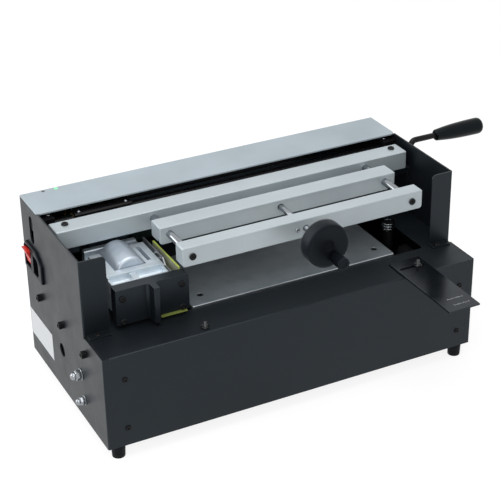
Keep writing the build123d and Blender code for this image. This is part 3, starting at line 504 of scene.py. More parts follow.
def rim_tree():
    """Ribs round a wheel's rim, about the origin; the geometry that comes in is left out."""
    inputs = (("Ribs", "Int", WHEEL_RIBS), ("Rim Radius", "Float", 28.5 * MM), ("Rib", "Object", None))
    tree, given = new_tree("ribs_round_rim", inputs)
    rim = {"Vertices": given.outputs["Ribs"], "Radius": given.outputs["Rim Radius"]}
    ring = put(tree, "GeometryNodeMeshCircle", rim)
    outward = {"Vector": put(tree, "GeometryNodeInputPosition").outputs[0]}
    facing = put(tree, "FunctionNodeAlignRotationToVector", outward, axis="X", pivot_axis="Z")
    source = put(tree, "GeometryNodeObjectInfo", {"Object": given.outputs["Rib"]})
    inputs = {
        "Points": ring.outputs[0],
        "Instance": source.outputs["Geometry"],
        "Rotation": facing.outputs[0],
    }
    fitted = put(tree, "GeometryNodeInstanceOnPoints", inputs)
    end_tree(tree, fitted.outputs[0], given.outputs["Finish"])
    return tree


# Materials


def new_material(name, **shader):
    """A material with plain values set, as (material, its tree, its object coordinates)."""
    material = bpy.data.materials.new(name)
    material.use_nodes = True
    tree = material.node_tree
    body = tree.nodes["Principled BSDF"]
    for key, value in shader.items():
        label = key.replace("_", " ").title().replace("Ior", "IOR")
        body.inputs[label].default_value = (*value, 1.0) if hasattr(value, "__len__") else value
    place = tree.nodes.new("ShaderNodeTexCoord").outputs["Object"]
    return material, tree, place


def cloud(tree, place, scale, detail, stretch=None):
    """Noise at so many features to the metre, stretched along an axis if asked."""
    if stretch:
        place = put(tree, "ShaderNodeMapping", {"Vector": place, "Scale": stretch}).outputs[0]
    return put(tree, "ShaderNodeTexNoise", {"Vector": place, "Scale": scale, "Detail": detail}).outputs[0]


def spread(tree, value, low, high, start=0.3, end=0.7):
    """A texture's value carried to a plain range."""
    inputs = {"Value": value, "From Min": start, "From Max": end, "To Min": low, "To Max": high}
    return put(tree, "ShaderNodeMapRange", inputs).outputs[0]


def mottle(tree, place, scale, detail, low=0.0, high=1.0, start=0.3, end=0.7):
    """Noise at so many features to the metre, carried to a plain range."""
    return spread(tree, cloud(tree, place, scale, detail), low, high, start, end)


def product(tree, one, other):
    """Two values multiplied."""
    return put(tree, "ShaderNodeMath", {0: one, 1: other}, operation="MULTIPLY").outputs[0]


def blend(tree, mask, first, second):
    """A colour between two, by a mask from 0 to 1; each is a plain colour or a socket."""
    inputs = {0: mask}
    for index, colour in ((6, first), (7, second)):
        inputs[index] = colour if isinstance(colour, bpy.types.NodeSocket) else (*colour, 1.0)
    return put(tree, "ShaderNodeMix", inputs, data_type="RGBA").outputs[2]


def toned(colour, amount):
    """A colour made lighter or darker."""
    return tuple(min(1.0, c * amount) for c in colour)


def surface(material, colour, rough, relief, depth, strength):
    """Gives a material back with its colour, roughness and fine relief, whose depth is in metres."""
    tree = material.node_tree
    body = tree.nodes["Principled BSDF"]
    tree.links.new(colour, body.inputs["Base Color"])
    tree.links.new(rough, body.inputs["Roughness"])
    inputs = {"Height": relief, "Distance": depth, "Strength": strength}
    tree.links.new(put(tree, "ShaderNodeBump", inputs).outputs[0], body.inputs["Normal"])
    return material


def edge_mask(tree, radius, place):
    """A mask that is 1 along edges, broken up as real wear is."""
    rounded = put(tree, "ShaderNodeBevel", {"Radius": radius}, samples=6)
    flat = put(tree, "ShaderNodeNewGeometry")
    normals = {0: rounded.outputs[0], 1: flat.outputs["Normal"]}
    dot = put(tree, "ShaderNodeVectorMath", normals, operation="DOT_PRODUCT")
    near = spread(tree, dot.outputs["Value"], 1.0, 0.0, 0.93, 0.995)
    return product(tree, near, mottle(tree, place, 260.0, 3.0, 0.15, 1.0, 0.35, 0.6))


def powder_coat(name, colour, edge, roughness, wear=0.6):
    """Fine satin powder coat: a slight orange peel, faint clouds, and paler edges, partly rubbed wear and
    partly a painted highlight along edges and folds.
    """
    material, tree, place = new_material(name, specular_tint=COAT_SHEEN, specular_ior_level=0.36)
    base = blend(tree, mottle(tree, place, 9.0, 4.0), toned(colour, 0.9), toned(colour, 1.12))
    # Paler edges: partly rubbed wear, partly a painted highlight along edges and folds
    rubbed_and_lit = product(tree, edge_mask(tree, 0.7 * MM, place), wear)
    colours = blend(tree, rubbed_and_lit, base, edge)
    rough = mottle(tree, place, 35.0, 5.0, roughness - 0.03, roughness + 0.04)
    return surface(material, colours, rough, cloud(tree, place, 1900.0, 2.0), 0.05 * MM, 0.5)


def anodised(name, colour, roughness=0.42):
    """Satin grey anodised aluminium, drawn lengthwise, a little brighter along its broken edges."""
    material, tree, place = new_material(name, metallic=0.35, specular_ior_level=0.5)
    lines = cloud(tree, place, 900.0, 3.0, (0.02, 1.0, 1.0))
    base = blend(tree, mottle(tree, place, 14.0, 4.0), toned(colour, 0.94), toned(colour, 1.05))
    colours = blend(tree, edge_mask(tree, 0.8 * MM, place), base, toned(colour, 1.3))
    rough = spread(tree, lines, roughness - 0.05, roughness + 0.07)
    return surface(material, colours, rough, lines, 0.03 * MM, 0.5)


def machined(name, colour, roughness=0.36, scale=420.0, metal=0.6):
    """Milled metal: fine cutter arcs, small stains and bright broken edges."""
    material, tree, place = new_material(name, metallic=metal)
    centred = put(tree, "ShaderNodeMapping", {"Vector": place, "Location": CUTTER_CENTRE}).outputs[0]
    arcs = put(
        tree,
        "ShaderNodeTexWave",
        {"Vector": centred, "Scale": scale, "Distortion": 1.5, "Detail": 2.0, "Detail Scale": 1.2},
        wave_type="RINGS",
        rings_direction="Z",
    ).outputs["Fac"]
    stain = mottle(tree, place, 45.0, 5.0, start=0.42, end=0.72)
    base = blend(tree, stain, toned(colour, 1.04), toned(colour, 0.86))
    colours = blend(tree, edge_mask(tree, 0.6 * MM, place), base, toned(colour, 1.25))
    rough = spread(tree, arcs, roughness - 0.04, roughness + 0.05, 0.0, 1.0)
    return surface(material, colours, rough, arcs, 0.01 * MM, 0.3)


def ground_steel(name, colour, roughness):
    """Ground and plated steel: a very fine grain and a few dull smears."""
    material, tree, place = new_material(name, metallic=1.0)
    smears = mottle(tree, place, 60.0, 4.0, roughness, roughness + 0.12, 0.45, 0.75)
    colours = blend(tree, mottle(tree, place, 25.0, 3.0), toned(colour, 0.94), toned(colour, 1.06))
    return surface(material, colours, smears, cloud(tree, place, 2600.0, 1.0), 0.01 * MM, 0.4)


def brushed_sheet(name, colour, roughness=0.36):
    """Zinc-plated sheet, brushed one way, with a soft spangle."""
    material, tree, place = new_material(name, metallic=0.95)
    lines = cloud(tree, place, 1100.0, 3.0, (1.0, 0.03, 0.03))
    colours = blend(tree, mottle(tree, place, 120.0, 2.0), toned(colour, 0.88), toned(colour, 1.08))
    rough = spread(tree, lines, roughness - 0.08, roughness + 0.08)
    return surface(material, colours, rough, lines, 0.02 * MM, 0.5)


def black_oxide(name, colour, roughness=0.32):
    """Blackened steel, uneven in tone and gloss, with steel showing on its sharpest edges."""
    material, tree, place = new_material(name, specular_ior_level=0.16)
    base = blend(tree, mottle(tree, place, 300.0, 3.0), toned(colour, 0.8), toned(colour, 1.3))
    colours = blend(tree, edge_mask(tree, 0.3 * MM, place), base, (0.05, 0.05, 0.054))
    rough = mottle(tree, place, 500.0, 4.0, roughness - 0.1, roughness + 0.12)
    return surface(material, colours, rough, cloud(tree, place, 3000.0, 2.0), 0.01 * MM, 0.4)


def moulded(name, colour, roughness, grain=1500.0, relief=0.03 * MM, gloss=0.16):
    """Moulded plastic or rubber with a fine even grain, a little glossier in its hollows."""
    material, tree, place = new_material(name, specular_tint=COAT_SHEEN, specular_ior_level=gloss)
    base = blend(tree, mottle(tree, place, 40.0, 3.0), toned(colour, 0.9), toned(colour, 1.12))
    colours = blend(tree, edge_mask(tree, 0.5 * MM, place), base, toned(colour, 2.0))
    grainy = cloud(tree, place, grain, 3.0)
    rough = spread(tree, grainy, roughness - 0.06, roughness + 0.06)
    return surface(material, colours, rough, grainy, relief, 0.5)


def laminate(name, warp, weft, cut, roughness=0.45):
    """Cloth-filled laminate: a square weave under a thin gloss, with cut edges on faces not turned to X."""
    material, tree, place = new_material(name, coat_weight=0.25, coat_roughness=0.2)
    across = put(tree, "ShaderNodeTexWave", {"Vector": place, "Scale": 260.0}, bands_direction="Y")
    along = put(tree, "ShaderNodeTexWave", {"Vector": place, "Scale": 260.0}, bands_direction="Z")
    weave = product(tree, across.outputs["Fac"], along.outputs["Fac"])
    normal = put(tree, "ShaderNodeNewGeometry").outputs["True Normal"]
    facing = put(tree, "ShaderNodeSeparateXYZ", {0: normal})
    side = put(tree, "ShaderNodeMath", {0: facing.outputs["X"]}, operation="ABSOLUTE").outputs[0]
    edge = spread(tree, side, 1.0, 0.0, 0.4, 0.8)
    colours = blend(tree, edge, blend(tree, weave, warp, weft), cut)
    rough = spread(tree, weave, roughness - 0.08, roughness + 0.08, 0.0, 1.0)
    return surface(material, colours, rough, weave, 0.03 * MM, 0.4)


def blasted_steel(name, colour):
    """The glue roller's blasted skin: frosted and speckled, in faint clouds."""
    material, tree, place = new_material(name, metallic=0.75)
    speck = cloud(tree, place, 2200.0, 2.0)
    colours = blend(tree, mottle(tree, place, 70.0, 4.0), toned(colour, 0.9), toned(colour, 1.1))
    return surface(material, colours, spread(tree, speck, 0.34, 0.5), speck, 0.04 * MM, 0.6)


def lamp_lens(name, colour, glow):
    """A small tinted lens, lit or dark."""
    material, tree, place = new_material(
        name, roughness=0.12, emission_strength=glow, coat_weight=0.6, coat_roughness=0.05
    )
    colours = blend(tree, mottle(tree, place, 700.0, 2.0), toned(colour, 0.85), colour)
    for label in ("Base Color", "Emission Color"):
        tree.links.new(colours, tree.nodes["Principled BSDF"].inputs[label])
    return material


def label_paper(name, colour):
    """A bare matt label."""
    material, tree, place = new_material(name, specular_ior_level=0.3)
    fibre = cloud(tree, place, 1400.0, 4.0)
    colours = blend(tree, spread(tree, fibre, 0.0, 1.0), toned(colour, 0.95), colour)
    return surface(material, colours, spread(tree, fibre, 0.5, 0.65), fibre, 0.01 * MM, 0.3)


FINISHES = {}
OWN_FINISH = {
    **dict.fromkeys(("rear_jaw_bar", "front_bar", "moving_jaw", "screw_collar"), "bar_aluminium"),
    "carriage_front": "block_coat",
    "side_gauge": "gauge_coat",
    "nipping_table": "table_aluminium",
}


def make_finishes(colours):
    """Every finish of the machine, under its slot's name or a name of its own."""
    coat, lid, bar = tuple(colours.coat), tuple(colours.lid), tuple(colours.bar)
    FINISHES.update({
        "black_coat": powder_coat("black_coat_satin", coat, RUBBED_AND_LIT_COAT_EDGE, 0.42),
        "block_coat": powder_coat("carriage_block_coat", toned(coat, 1.6), RUBBED_AND_LIT_COAT_EDGE, 0.36),
        "gauge_coat": powder_coat("gauge_gloss_coat", toned(coat, 0.8), (0.03, 0.03, 0.033), 0.17, 0.3),
        "pale_coat": powder_coat("pale_coat_satin", lid, toned(lid, 1.25), 0.5, 0.8),
        "bar_aluminium": anodised("bar_anodised", bar),
        "bare_aluminium": machined("milled_aluminium", (0.62, 0.69, 0.74)),
        "table_aluminium": machined("ground_table", (0.45, 0.49, 0.52), 0.3, metal=0.85),
        "bright_steel": ground_steel("bright_plated_steel", (0.29, 0.31, 0.33), 0.11),
        "dark_chrome": ground_steel("dark_chrome", (0.075, 0.078, 0.082), 0.14),
        "brushed_steel": brushed_sheet("zinc_sheet", (0.62, 0.64, 0.66)),
        "black_steel": black_oxide("black_oxide_steel", (0.005, 0.005, 0.006)),
        "bronze": machined("sintered_bronze", (0.62, 0.44, 0.2), 0.4, 900.0, 0.9),
        "black_moulding": moulded("black_moulding", (0.003, 0.0038, 0.0055), 0.42),
        # The ribs are a lighter copy of the wheel's black moulding: painted highlight on the rib tops against
        # the dark grooves
        "rib_moulding": moulded("rib_moulding", (0.012, 0.014, 0.018), 0.24, relief=0.01 * MM, gloss=0.5),
        "black_gloss": moulded("black_grip", (0.0025, 0.0027, 0.003), 0.22, 900.0, 0.01 * MM),
        "red_rocker": moulded("red_rocker", tuple(colours.rocker), 0.25, 900.0, 0.01 * MM, 0.4),
        "lamp": lamp_lens("lamp_lit", (0.1, 0.8, 0.25), 1.2),
        "lamp_dark": lamp_lens("lamp_dark", (0.012, 0.012, 0.013), 0.0),
        "foot_rubber": moulded("foot_rubber", (0.003, 0.003, 0.0034), 0.6, 800.0, 0.06 * MM),
        "roller_steel": blasted_steel("roller_blasted", (0.5, 0.56, 0.63)),
        "glass_fibre": laminate("glass_fibre", (0.3, 0.32, 0.22), (0.4, 0.42, 0.31), (0.56, 0.66, 0.12)),
        "hard_fibre": laminate("hard_fibre", (0.1, 0.12, 0.04), (0.15, 0.17, 0.06), (0.2, 0.24, 0.05)),
        "cast_iron": powder_coat("painted_casting", (0.05, 0.05, 0.054), (0.12, 0.12, 0.12), 0.6),
        # The board's green is darkened almost to black: painted shade where it shows through the gap under
        # the rear bar
        "circuit_board": laminate(
            "circuit_board", (0.004, 0.014, 0.009), (0.006, 0.02, 0.012), (0.01, 0.03, 0.02), 0.35
        ),
        "label": label_paper("label_paper", (0.66, 0.68, 0.7)),
    })


# What a user would change


class BinderColours(bpy.types.PropertyGroup):
    """The machine's main colours."""

    coat: FloatVectorProperty(
        name="Housing coat", description="Powder coat of the walls and base", subtype="COLOR",
        size=3, min=0.0, max=1.0, default=(0.0042, 0.0054, 0.007),
    )
    lid: FloatVectorProperty(
        name="Lid coat", description="Powder coat of the top lid", subtype="COLOR",
        size=3, min=0.0, max=1.0, default=(0.39, 0.45, 0.49),
    )
    bar: FloatVectorProperty(
        name="Bars", description="Anodised finish of the clamp's three bars", subtype="COLOR",
        size=3, min=0.0, max=1.0, default=(0.46, 0.52, 0.55),
    )
    rocker: FloatVectorProperty(
        name="Rocker", description="The power switch's rocker", subtype="COLOR",
        size=3, min=0.0, max=1.0, default=(0.62, 0.03, 0.02),
    )


class BinderSizes(bpy.types.PropertyGroup):
    """Sizes of the small detail."""

    edge_break: FloatProperty(
        name="Edge break", description="Rounding of the packed parts' sharp edges",
        unit="LENGTH", default=0.0003, min=0.0,
    )
    ribs: IntProperty(
        name="Wheel ribs", description="Ribs round the handwheel's rim", default=WHEEL_RIBS, min=8
    )
    rib_depth: FloatProperty(
        name="Rib depth", description="How far the handwheel's ribs stand out",
        unit="LENGTH", default=0.0014, min=0.0,
    )
    knurls: IntProperty(name="Screw knurls", description="Grooves round a screw's head", default=24, min=8)
    label_width: FloatProperty(
        name="Label width", description="Length of the bare label on the left wall",
        unit="LENGTH", default=0.085, min=0.0,
    )
    label_height: FloatProperty(
        name="Label height", description="Height of the bare label on the left wall",
        unit="LENGTH", default=0.04, min=0.0,
    )


class BinderStage(bpy.types.PropertyGroup):
    """The studio."""

    key_power: FloatProperty(
        name="Overhead lamp", description="Power of the large lamp over the machine",
        unit="POWER", default=25.0, min=0.0,
    )
    front_power: FloatProperty(
        name="Front lamp", description="Power of the lamp beside the camera",
        unit="POWER", default=15.0, min=0.0,
    )
    side_power: FloatProperty(
        name="Side lamp", description="Power of the low lamp on the machine's left",
        unit="POWER", default=22.0, min=0.0,
    )
    fill: FloatProperty(name="Fill", description="Light from all round", default=0.42, min=0.0)
    lens: FloatProperty(
        name="Lens", description="Focal length on a 36 mm sensor", unit="CAMERA", default=103.8, min=1.0
    )


# Operators


class BINDER_OT_finishes(bpy.types.Operator):
    """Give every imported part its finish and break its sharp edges"""

    bl_idname = "binder.finishes"
    bl_label = "Finish packed parts"

    def execute(self, context):
        make_finishes(context.scene.binder_colours)
        width = context.scene.binder_sizes.edge_break
        for name, node in frame["nodes"].items():
            finish = FINISHES[OWN_FINISH.get(name, SLOT_OF[name])]
            for slot in node.material_slots:
                slot.material = finish
            weld = node.modifiers.new("weld", "WELD")
            weld.merge_threshold = WELD_PACKED
            flat = node.modifiers.new("flat_faces", "DECIMATE")
            flat.decimate_type = "DISSOLVE"
            flat.angle_limit = math.radians(FLAT_ANGLE)
            edge = node.modifiers.new("edge_break", "BEVEL")
            edge.width = width
            edge.segments = 2
            edge.limit_method = "ANGLE"
            edge.angle_limit = math.radians(BREAK_ANGLE)
            edge.harden_normals = True
        return {"FINISHED"}


class BINDER_OT_screws(bpy.types.Operator):
    """Put a real socket-head screw at every seat on the machine"""

    bl_idname = "binder.screws"
    bl_label = "Screws"

    def execute(self, context):
        knurls = context.scene.binder_sizes.knurls
        bar = face("front_bar", 1, 0)
        block = face("carriage_front", 1, 0) + FIN_DEPTH
        table = face("nipping_table", 2, 1) - TABLE_SINK
        groups = (
            ("side_screws", side_screw_seats(), "housing"),
            ("front_screws", seats("front_screws", 1, face("front_panel", 1, 0), FRONT), "housing"),
            ("front_bar_screws", seats("front_bar_screws", 1, bar, FRONT), "housing"),
            ("rear_bar_screws", seats("rear_bar_screws", 2, face("rear_jaw_bar", 2, 1), UP), "housing"),
            ("carriage_screws", seats("carriage_screws", 1, block, FRONT), "carriage"),
            ("table_screws", seats("table_screws", 2, table, UP), "table"),
            ("nut_screws", seats("nut_screws", 1, bar, FRONT), "housing"),
            ("rail_block_screws", upright_seats(RAIL_BLOCK_SCREWS), "housing"),
            ("slide_housing_screws", upright_seats(SLIDE_SCREWS), "carriage"),
            ("tab_screws", upright_seats(TAB_SCREWS), "housing"),
        )
        for name, spots, body in groups:
            slot = "bright_steel" if name in BRIGHT_SCREWS else "black_steel"
            pattern = to_object(screw(name, knurls), name + "_pattern")
            obj = seat_fasteners(name + "_fitted", spots, pattern, FINISHES[slot])
            nodes = (name,) if name in frame["nodes"] else ()
            dress(obj, body, slot, FINISHES[slot], *nodes)
        return {"FINISHED"}


def side_screw_seats():
    """The side screws' seats; on the right wall, beside the lever, their heads are low."""
    walls = (face("left_side_panel", 0, 0), face("right_side_panel", 0, 1))
    found = []
    for box in solids_of("side_screws"):
        place = middle(box)
        right = place.x > 0
        place.x = walls[right]
        found.append((place, RIGHT if right else LEFT, (1.0, LOW_HEAD if right else 1.0)))
    return found


class BINDER_OT_acorn_nuts(bpy.types.Operator):
    """Make the two flanged acorn nuts on the left wall"""

    bl_idname = "binder.acorn_nuts"
    bl_label = "Acorn nuts"

    def execute(self, context):
        wall = face("left_side_panel", 0, 0)
        spots = []
        for box in solids_of("acorn_nuts"):
            place = middle(box)
            size = (wall - box[0].x) / (NUT_HEIGHT * MM)
            place.x = wall
            spots.append((place, LEFT, (size, size)))
        rings = [(-8, 4.0), (0, 4.0), (0, 7.5), (0.3, 7.8), (1.1, 7.8), (1.5, 7.4)]
        rings += [(1.55, hexagon(11.6)), (1.9, hexagon(12.1)), (7.3, hexagon(12.1)), (8.1, hexagon(11.3))]
        rings += [(8.6, 5.25)] + rounded_end(NUT_HEIGHT, 5.2, 5.19, 8)
        pattern = to_object(body_of(rings), "acorn_pattern")
        bright = FINISHES["bright_steel"]
        obj = seat_fasteners("acorn_nuts_fitted", spots, pattern, bright)
        dress(obj, "housing", "bright_steel", bright, "acorn_nuts")
        return {"FINISHED"}


class BINDER_OT_handwheel(bpy.types.Operator):
    """Make the clamp's ribbed handwheel, with the pin of its crank handle"""

    bl_idname = "binder.handwheel"
    bl_label = "Handwheel"

    def execute(self, context):
        sizes = context.scene.binder_sizes
        depth = sizes.rib_depth / MM
        low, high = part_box("handwheel")
        axis = middle(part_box("clamp_screw"))
        rim = (high.z - low.z) / 2 / MM - depth
        rings = [(-8, 4.2), (-8, 10.5), (-7.5, 11), (5, 11.6), (5, 23), (-2.6, 24.6), (-3, 25.2)]
        rings += [(-3, rim - 1), (-2, rim), (14.6, rim), (15.4, rim + depth * 0.75)]
        rings += [(16.4, rim + depth * 0.7), (17.3, rim), (17.8, rim - 1.0), (18.0, rim - 2.2), (17.8, 24.5)]
        rings += [(17.1, 18.0), (16.6, 12.0), (16.4, 8.4), (16.2, 7.6), (15.0, 7.2), (14.8, 6.6), (14.8, 0.4)]
        core = body_of(rings, 144)
        grip = middle(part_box("crank_handle")) - axis
        offset = Matrix.Translation((grip.x, grip.z, 0))
        pin = moved(body_of([(14.5, 3.0), (40, 3.0)], 24), offset)
        boss = moved(body_of([(14.4, 5.6), (17.6, 5.2), (17.9, 4.9), (17.9, 0.5)], 32), offset)
        place = aimed((axis.x, WHEEL_BACK, axis.z), FRONT)
        wheel = placed(merged([core, pin, boss]), "handwheel_body", place)
        dress(wheel, "clamp_wheel", "black_moulding", FINISHES["black_moulding"], "handwheel")
        shape = slab((RIB_ROOT, -RIB_HALF, RIB_ENDS[0]), (sizes.rib_depth, RIB_HALF, RIB_ENDS[1]), RIB_BEVEL)
        rib = to_object(shape, "rib")
        # The ribs' lighter colour is a painted highlight on their tops
        finish = FINISHES["rib_moulding"]
        values = {"Ribs": sizes.ribs, "Rim Radius": rim * MM, "Rib": rib, "Finish": finish}
        ribs = grown(to_object(bmesh.new(), "rim_centre"), rim_tree(), values, "handwheel_ribs")
        bpy.data.objects.remove(rib)
        ribs.data.transform(place)
        dress(ribs, "clamp_wheel", "black_moulding", finish)
        return {"FINISHED"}


class BINDER_OT_crank_handle(bpy.types.Operator):
    """Make the handle on the wheel, which spins on its pin"""

    bl_idname = "binder.crank_handle"
    bl_label = "Crank handle"

    def execute(self, context):
        low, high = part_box("crank_handle")
        centre = middle((low, high))
        length = (high.y - low.y) / MM
        radius = (high.x - low.x) / 2 / MM
        rings = [(0, radius - 1.6), (0.5, radius - 1.1), (3, radius - 0.7), (length * 0.5, radius - 0.1)]
        rings += [(length - 4, radius)] + rounded_end(length, radius, 1.8, 5)
        rings += [(length, 4.4), (length - 0.3, 4.1), (length - 0.9, 3.9), (length - 1.0, 0.4)]
        matrix = aimed((centre.x, high.y, centre.z), FRONT)
        obj = placed(body_of(rings, 64), "crank_handle_turned", matrix)
        dress(obj, "crank", "black_moulding", FINISHES["black_moulding"], "crank_handle")
        return {"FINISHED"}


class BINDER_OT_clamp_screw(bpy.types.Operator):
    """Make the clamp's threaded screw"""

    bl_idname = "binder.clamp_screw"
    bl_label = "Clamp screw"

    def execute(self, context):
        low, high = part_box("clamp_screw")
        centre = middle((low, high))
        length = (high.y - low.y) / MM
        start = length - CLAMP_PLAIN_END
        collar = length - COLLAR_FROM_END
        plain = CLAMP_RADIUS - 0.1
        rings = [(0, CLAMP_RADIUS - 0.7), (0.6, CLAMP_RADIUS - 0.05)]
        rings += threaded(1.0, start, CLAMP_RADIUS, CLAMP_PITCH, 0.55)
        rings += [(start + 1.2, plain), (collar, plain), (collar, COLLAR_RADIUS)]
        rings += [(collar + COLLAR_WIDTH, COLLAR_RADIUS), (collar + COLLAR_WIDTH, plain)]
        rings += [(length - 0.5, plain), (length, CLAMP_RADIUS - 0.5)]
        matrix = aimed((centre.x, low.y, centre.z), BACK)
        obj = placed(body_of(rings, 32), "clamp_screw_threaded", matrix, sharp=60.0)
        dress(obj, "clamp_wheel", "bright_steel", FINISHES["bright_steel"], "clamp_screw")
        return {"FINISHED"}


class BINDER_OT_lever_grip(bpy.types.Operator):
    """Make the grip on the lever's end"""

    bl_idname = "binder.lever_grip"
    bl_label = "Lever grip"

    def execute(self, context):
        low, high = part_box("lever_grip")
        centre = middle((low, high))
        matrix = aimed((low.x, centre.y, centre.z), RIGHT)
        obj = placed(body_of(GRIP_RINGS, 64), "lever_grip_turned", matrix)
        dress(obj, "lift", "black_gloss", FINISHES["black_gloss"], "lever_grip")
        return {"FINISHED"}


class BINDER_OT_thumb_screws(bpy.types.Operator):
    """Make the two thumb screws of the gauge"""

    bl_idname = "binder.thumb_screws"
    bl_label = "Thumb screws"

    def execute(self, context):
        for node, body in (("thumb_screw_left", "left_thumb"), ("thumb_screw_right", "right_thumb")):
            low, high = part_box(node)
            centre = middle((low, high))
            seat = high.z - THUMB_HEIGHT * MM
            shank = (low.z - seat) / MM
            rings = [(shank, 2.4), (0, 2.4), (0, 5.2), (0.3, 5.55), (1.9, 5.6), (2.2, 5.3), (2.2, 4.9)]
            rings += [(1.5, 4.5), (1.3, 2.4)] + threaded(1.5, 8.9, 2.4, 0.8, 0.3)
            rings += [(9.4, 1.9), (THUMB_HEIGHT, 0.3)]
            matrix = aimed((centre.x, centre.y, seat), UP)
            obj = placed(body_of(rings), node + "_turned", matrix, sharp=40.0)
            dress(obj, body, "black_steel", FINISHES["dark_chrome"], node)
        return {"FINISHED"}


class BINDER_OT_lamps(bpy.types.Operator):
    """Make the lid's two lamps, one dark and one lit green"""

    bl_idname = "binder.lamps"
    bl_label = "Lamps"

    def execute(self, context):
        lid = face("top_lid", 2, 1)
        lenses = (("lamp_left", "lamp_dark"), ("lamp_right", "lamp"))
        for box, (name, finish) in zip(solids_of("indicator_lamps"), lenses):
            centre = middle(box)
            obj = placed(body_of(LENS_RINGS, 32), name, aimed((centre.x, centre.y, lid), UP))
            dress(obj, "housing", "lamp", FINISHES[finish], "indicator_lamps")
        return {"FINISHED"}


class BINDER_OT_marks(bpy.types.Operator):
    """Make the bare label on the left wall and the gauge's short tick marks"""

    bl_idname = "binder.marks"
    bl_label = "Label and tick marks"

    def execute(self, context):
        sizes = context.scene.binder_sizes
        wall = face("left_side_panel", 0, 0)
        y, z = LABEL_CENTRE
        half = (sizes.label_width / 2, sizes.label_height / 2)
        low = (wall - LABEL_FACE, y - half[0], z - half[1])
        high = (wall - LABEL_BACK, y + half[0], z + half[1])
        label = to_object(slab(low, high, LABEL_BEVEL, 1), "rating_label_bare")
        dress(label, "housing", "pale_coat", FINISHES["label"])
        top = face("side_gauge", 2, 1)
        ticks = []
        for left, front in TICK_ROWS:
            for step in range(TICK_COUNT):
                x = left + step * TICK_PITCH
                back = front + TICK_LENGTH * (1.0 if step % LONG_TICK_EVERY else LONG_TICK)
                ticks.append(slab((x, front, top + TICK_BACK), (x + TICK_WIDTH, back, top + TICK_FACE)))
        obj = to_object(merged(ticks), "gauge_tick_marks")
        dress(obj, "gauge", "pale_coat", FINISHES["label"])
        return {"FINISHED"}


class BINDER_OT_stage(bpy.types.Operator):
    """Set up the floor, the soft lamps and the camera"""

    bl_idname = "binder.stage"
    bl_label = "Studio"

    def execute(self, context):
        settings = context.scene.binder_stage
        floor()
        world(settings.fill)
        for name, (place, target, side, power) in LAMPS.items():
            lamp(name, place, target, side, getattr(settings, power))
        camera(settings.lens)
        context.scene.view_settings.view_transform = "Standard"
        return {"FINISHED"}


def seen_rays(tree):
    """1 for the rays that the camera, a mirror or a clear part sends, and 0 for the rest."""
    path = put(tree, "ShaderNodeLightPath")
    total = path.outputs["Is Camera Ray"]
    for label in ("Is Glossy Ray", "Is Transmission Ray"):
        node = put(tree, "ShaderNodeMath", {0: total, 1: path.outputs[label]}, operation="MAXIMUM")
        total = node.outputs[0]
    return total


def floor():
    """A wide pale floor that keeps a soft shadow."""
    bm = bmesh.new()
    bmesh.ops.create_grid(bm, x_segments=1, y_segments=1, size=FLOOR_HALF)
    obj = to_object(bm, "floor")
    material = bpy.data.materials.new("floor_white")
    material.use_nodes = True
    tree = material.node_tree
    tree.nodes.clear()
    seen = seen_rays(tree)
    shares = {"Value": seen, "To Min": FLOOR_LIT, "To Max": FLOOR_SEEN}
    share = put(tree, "ShaderNodeMapRange", shares).outputs[0]
    paint = put(tree, "ShaderNodeBsdfDiffuse")
    tint = put(tree, "ShaderNodeCombineColor", {0: share, 1: share, 2: share})
    tree.links.new(tint.outputs[0], paint.inputs["Color"])
    light = put(tree, "ShaderNodeEmission", {"Strength": product(tree, seen, FLOOR_GLOW)})
    both = put(tree, "ShaderNodeAddShader", {0: paint.outputs[0], 1: light.outputs[0]})
    put(tree, "ShaderNodeOutputMaterial", {"Surface": both.outputs[0]})
    obj.data.materials.append(material)


def world(fill):
    """Even white surroundings: full white where they are seen, weaker as light."""
    scene_world = bpy.data.worlds.new("studio")
    scene_world.use_nodes = True
    bpy.context.scene.world = scene_world
    tree = scene_world.node_tree
    level = put(tree, "ShaderNodeMapRange", {"Value": seen_rays(tree), "To Min": fill, "To Max": 1.0})
    back = tree.nodes["Background"]
    back.inputs["Color"].default_value = (1, 1, 1, 1)
    tree.links.new(level.outputs[0], back.inputs["Strength"])


def lamp(name, place, target, size, power):
    """A square soft lamp aimed at a point."""
    data = bpy.data.lights.new(name, "AREA")
    data.shape = "SQUARE"
    data.size = size
    data.energy = power
    turn = (Vector(target) - Vector(place)).to_track_quat("-Z", "Y").to_matrix().to_4x4()
    linked(name, data).matrix_world = Matrix.Translation(place) @ turn


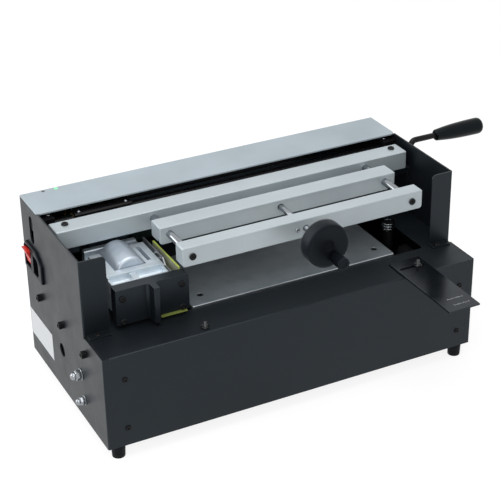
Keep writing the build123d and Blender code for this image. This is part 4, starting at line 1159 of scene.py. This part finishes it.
def camera(lens):
    """The camera, from the left and above, leaning very slightly."""
    data = bpy.data.cameras.new("camera")
    data.sensor_width = SENSOR_WIDTH
    data.lens = lens
    data.shift_x, data.shift_y = CAMERA_SHIFT
    data.clip_start, data.clip_end = 0.1, 100.0
    around, down, roll = (math.radians(a) for a in CAMERA_ANGLES)
    ahead = Vector((-math.sin(around) * math.cos(down), math.cos(around) * math.cos(down), -math.sin(down)))
    level = Vector((math.cos(around), math.sin(around), 0))
    upright = level.cross(ahead)
    right = level * math.cos(roll) + upright * math.sin(roll)
    up = right.cross(ahead)
    obj = linked("camera", data)
    obj.matrix_world = Matrix.Translation(CAMERA_PLACE) @ Matrix((right, up, -ahead)).transposed().to_4x4()
    bpy.context.scene.camera = obj


class BINDER_PT_sidebar(bpy.types.Panel):
    """Lists the machine's pieces and their settings"""

    bl_label = "Perfect binder"
    bl_idname = "BINDER_PT_sidebar"
    bl_space_type = "VIEW_3D"
    bl_region_type = "UI"
    bl_category = "Binder"

    def draw(self, context):
        for group in (context.scene.binder_colours, context.scene.binder_sizes, context.scene.binder_stage):
            box = self.layout.box()
            for name in group.__annotations__:
                box.prop(group, name)
        for operator in STEPS:
            self.layout.operator(operator.bl_idname)


STEPS = (
    BINDER_OT_finishes,
    BINDER_OT_screws,
    BINDER_OT_acorn_nuts,
    BINDER_OT_handwheel,
    BINDER_OT_crank_handle,
    BINDER_OT_clamp_screw,
    BINDER_OT_lever_grip,
    BINDER_OT_thumb_screws,
    BINDER_OT_lamps,
    BINDER_OT_marks,
    BINDER_OT_stage,
)
SETTINGS = {"binder_colours": BinderColours, "binder_sizes": BinderSizes, "binder_stage": BinderStage}
CLASSES = (*SETTINGS.values(), *STEPS, BINDER_PT_sidebar)


def register():
    """Registers the settings, the operators and the panel."""
    for cls in CLASSES:
        bpy.utils.register_class(cls)
    for name, cls in SETTINGS.items():
        setattr(bpy.types.Scene, name, PointerProperty(type=cls))


def unregister():
    """Takes everything back out."""
    for name in SETTINGS:
        delattr(bpy.types.Scene, name)
    for cls in reversed(CLASSES):
        bpy.utils.unregister_class(cls)


def main():
    """Builds the whole machine, piece by piece."""
    register()
    for operator in STEPS:
        group, step = operator.bl_idname.split(".")
        getattr(getattr(bpy.ops, group), step)()


if __name__ == "__main__":
    main()
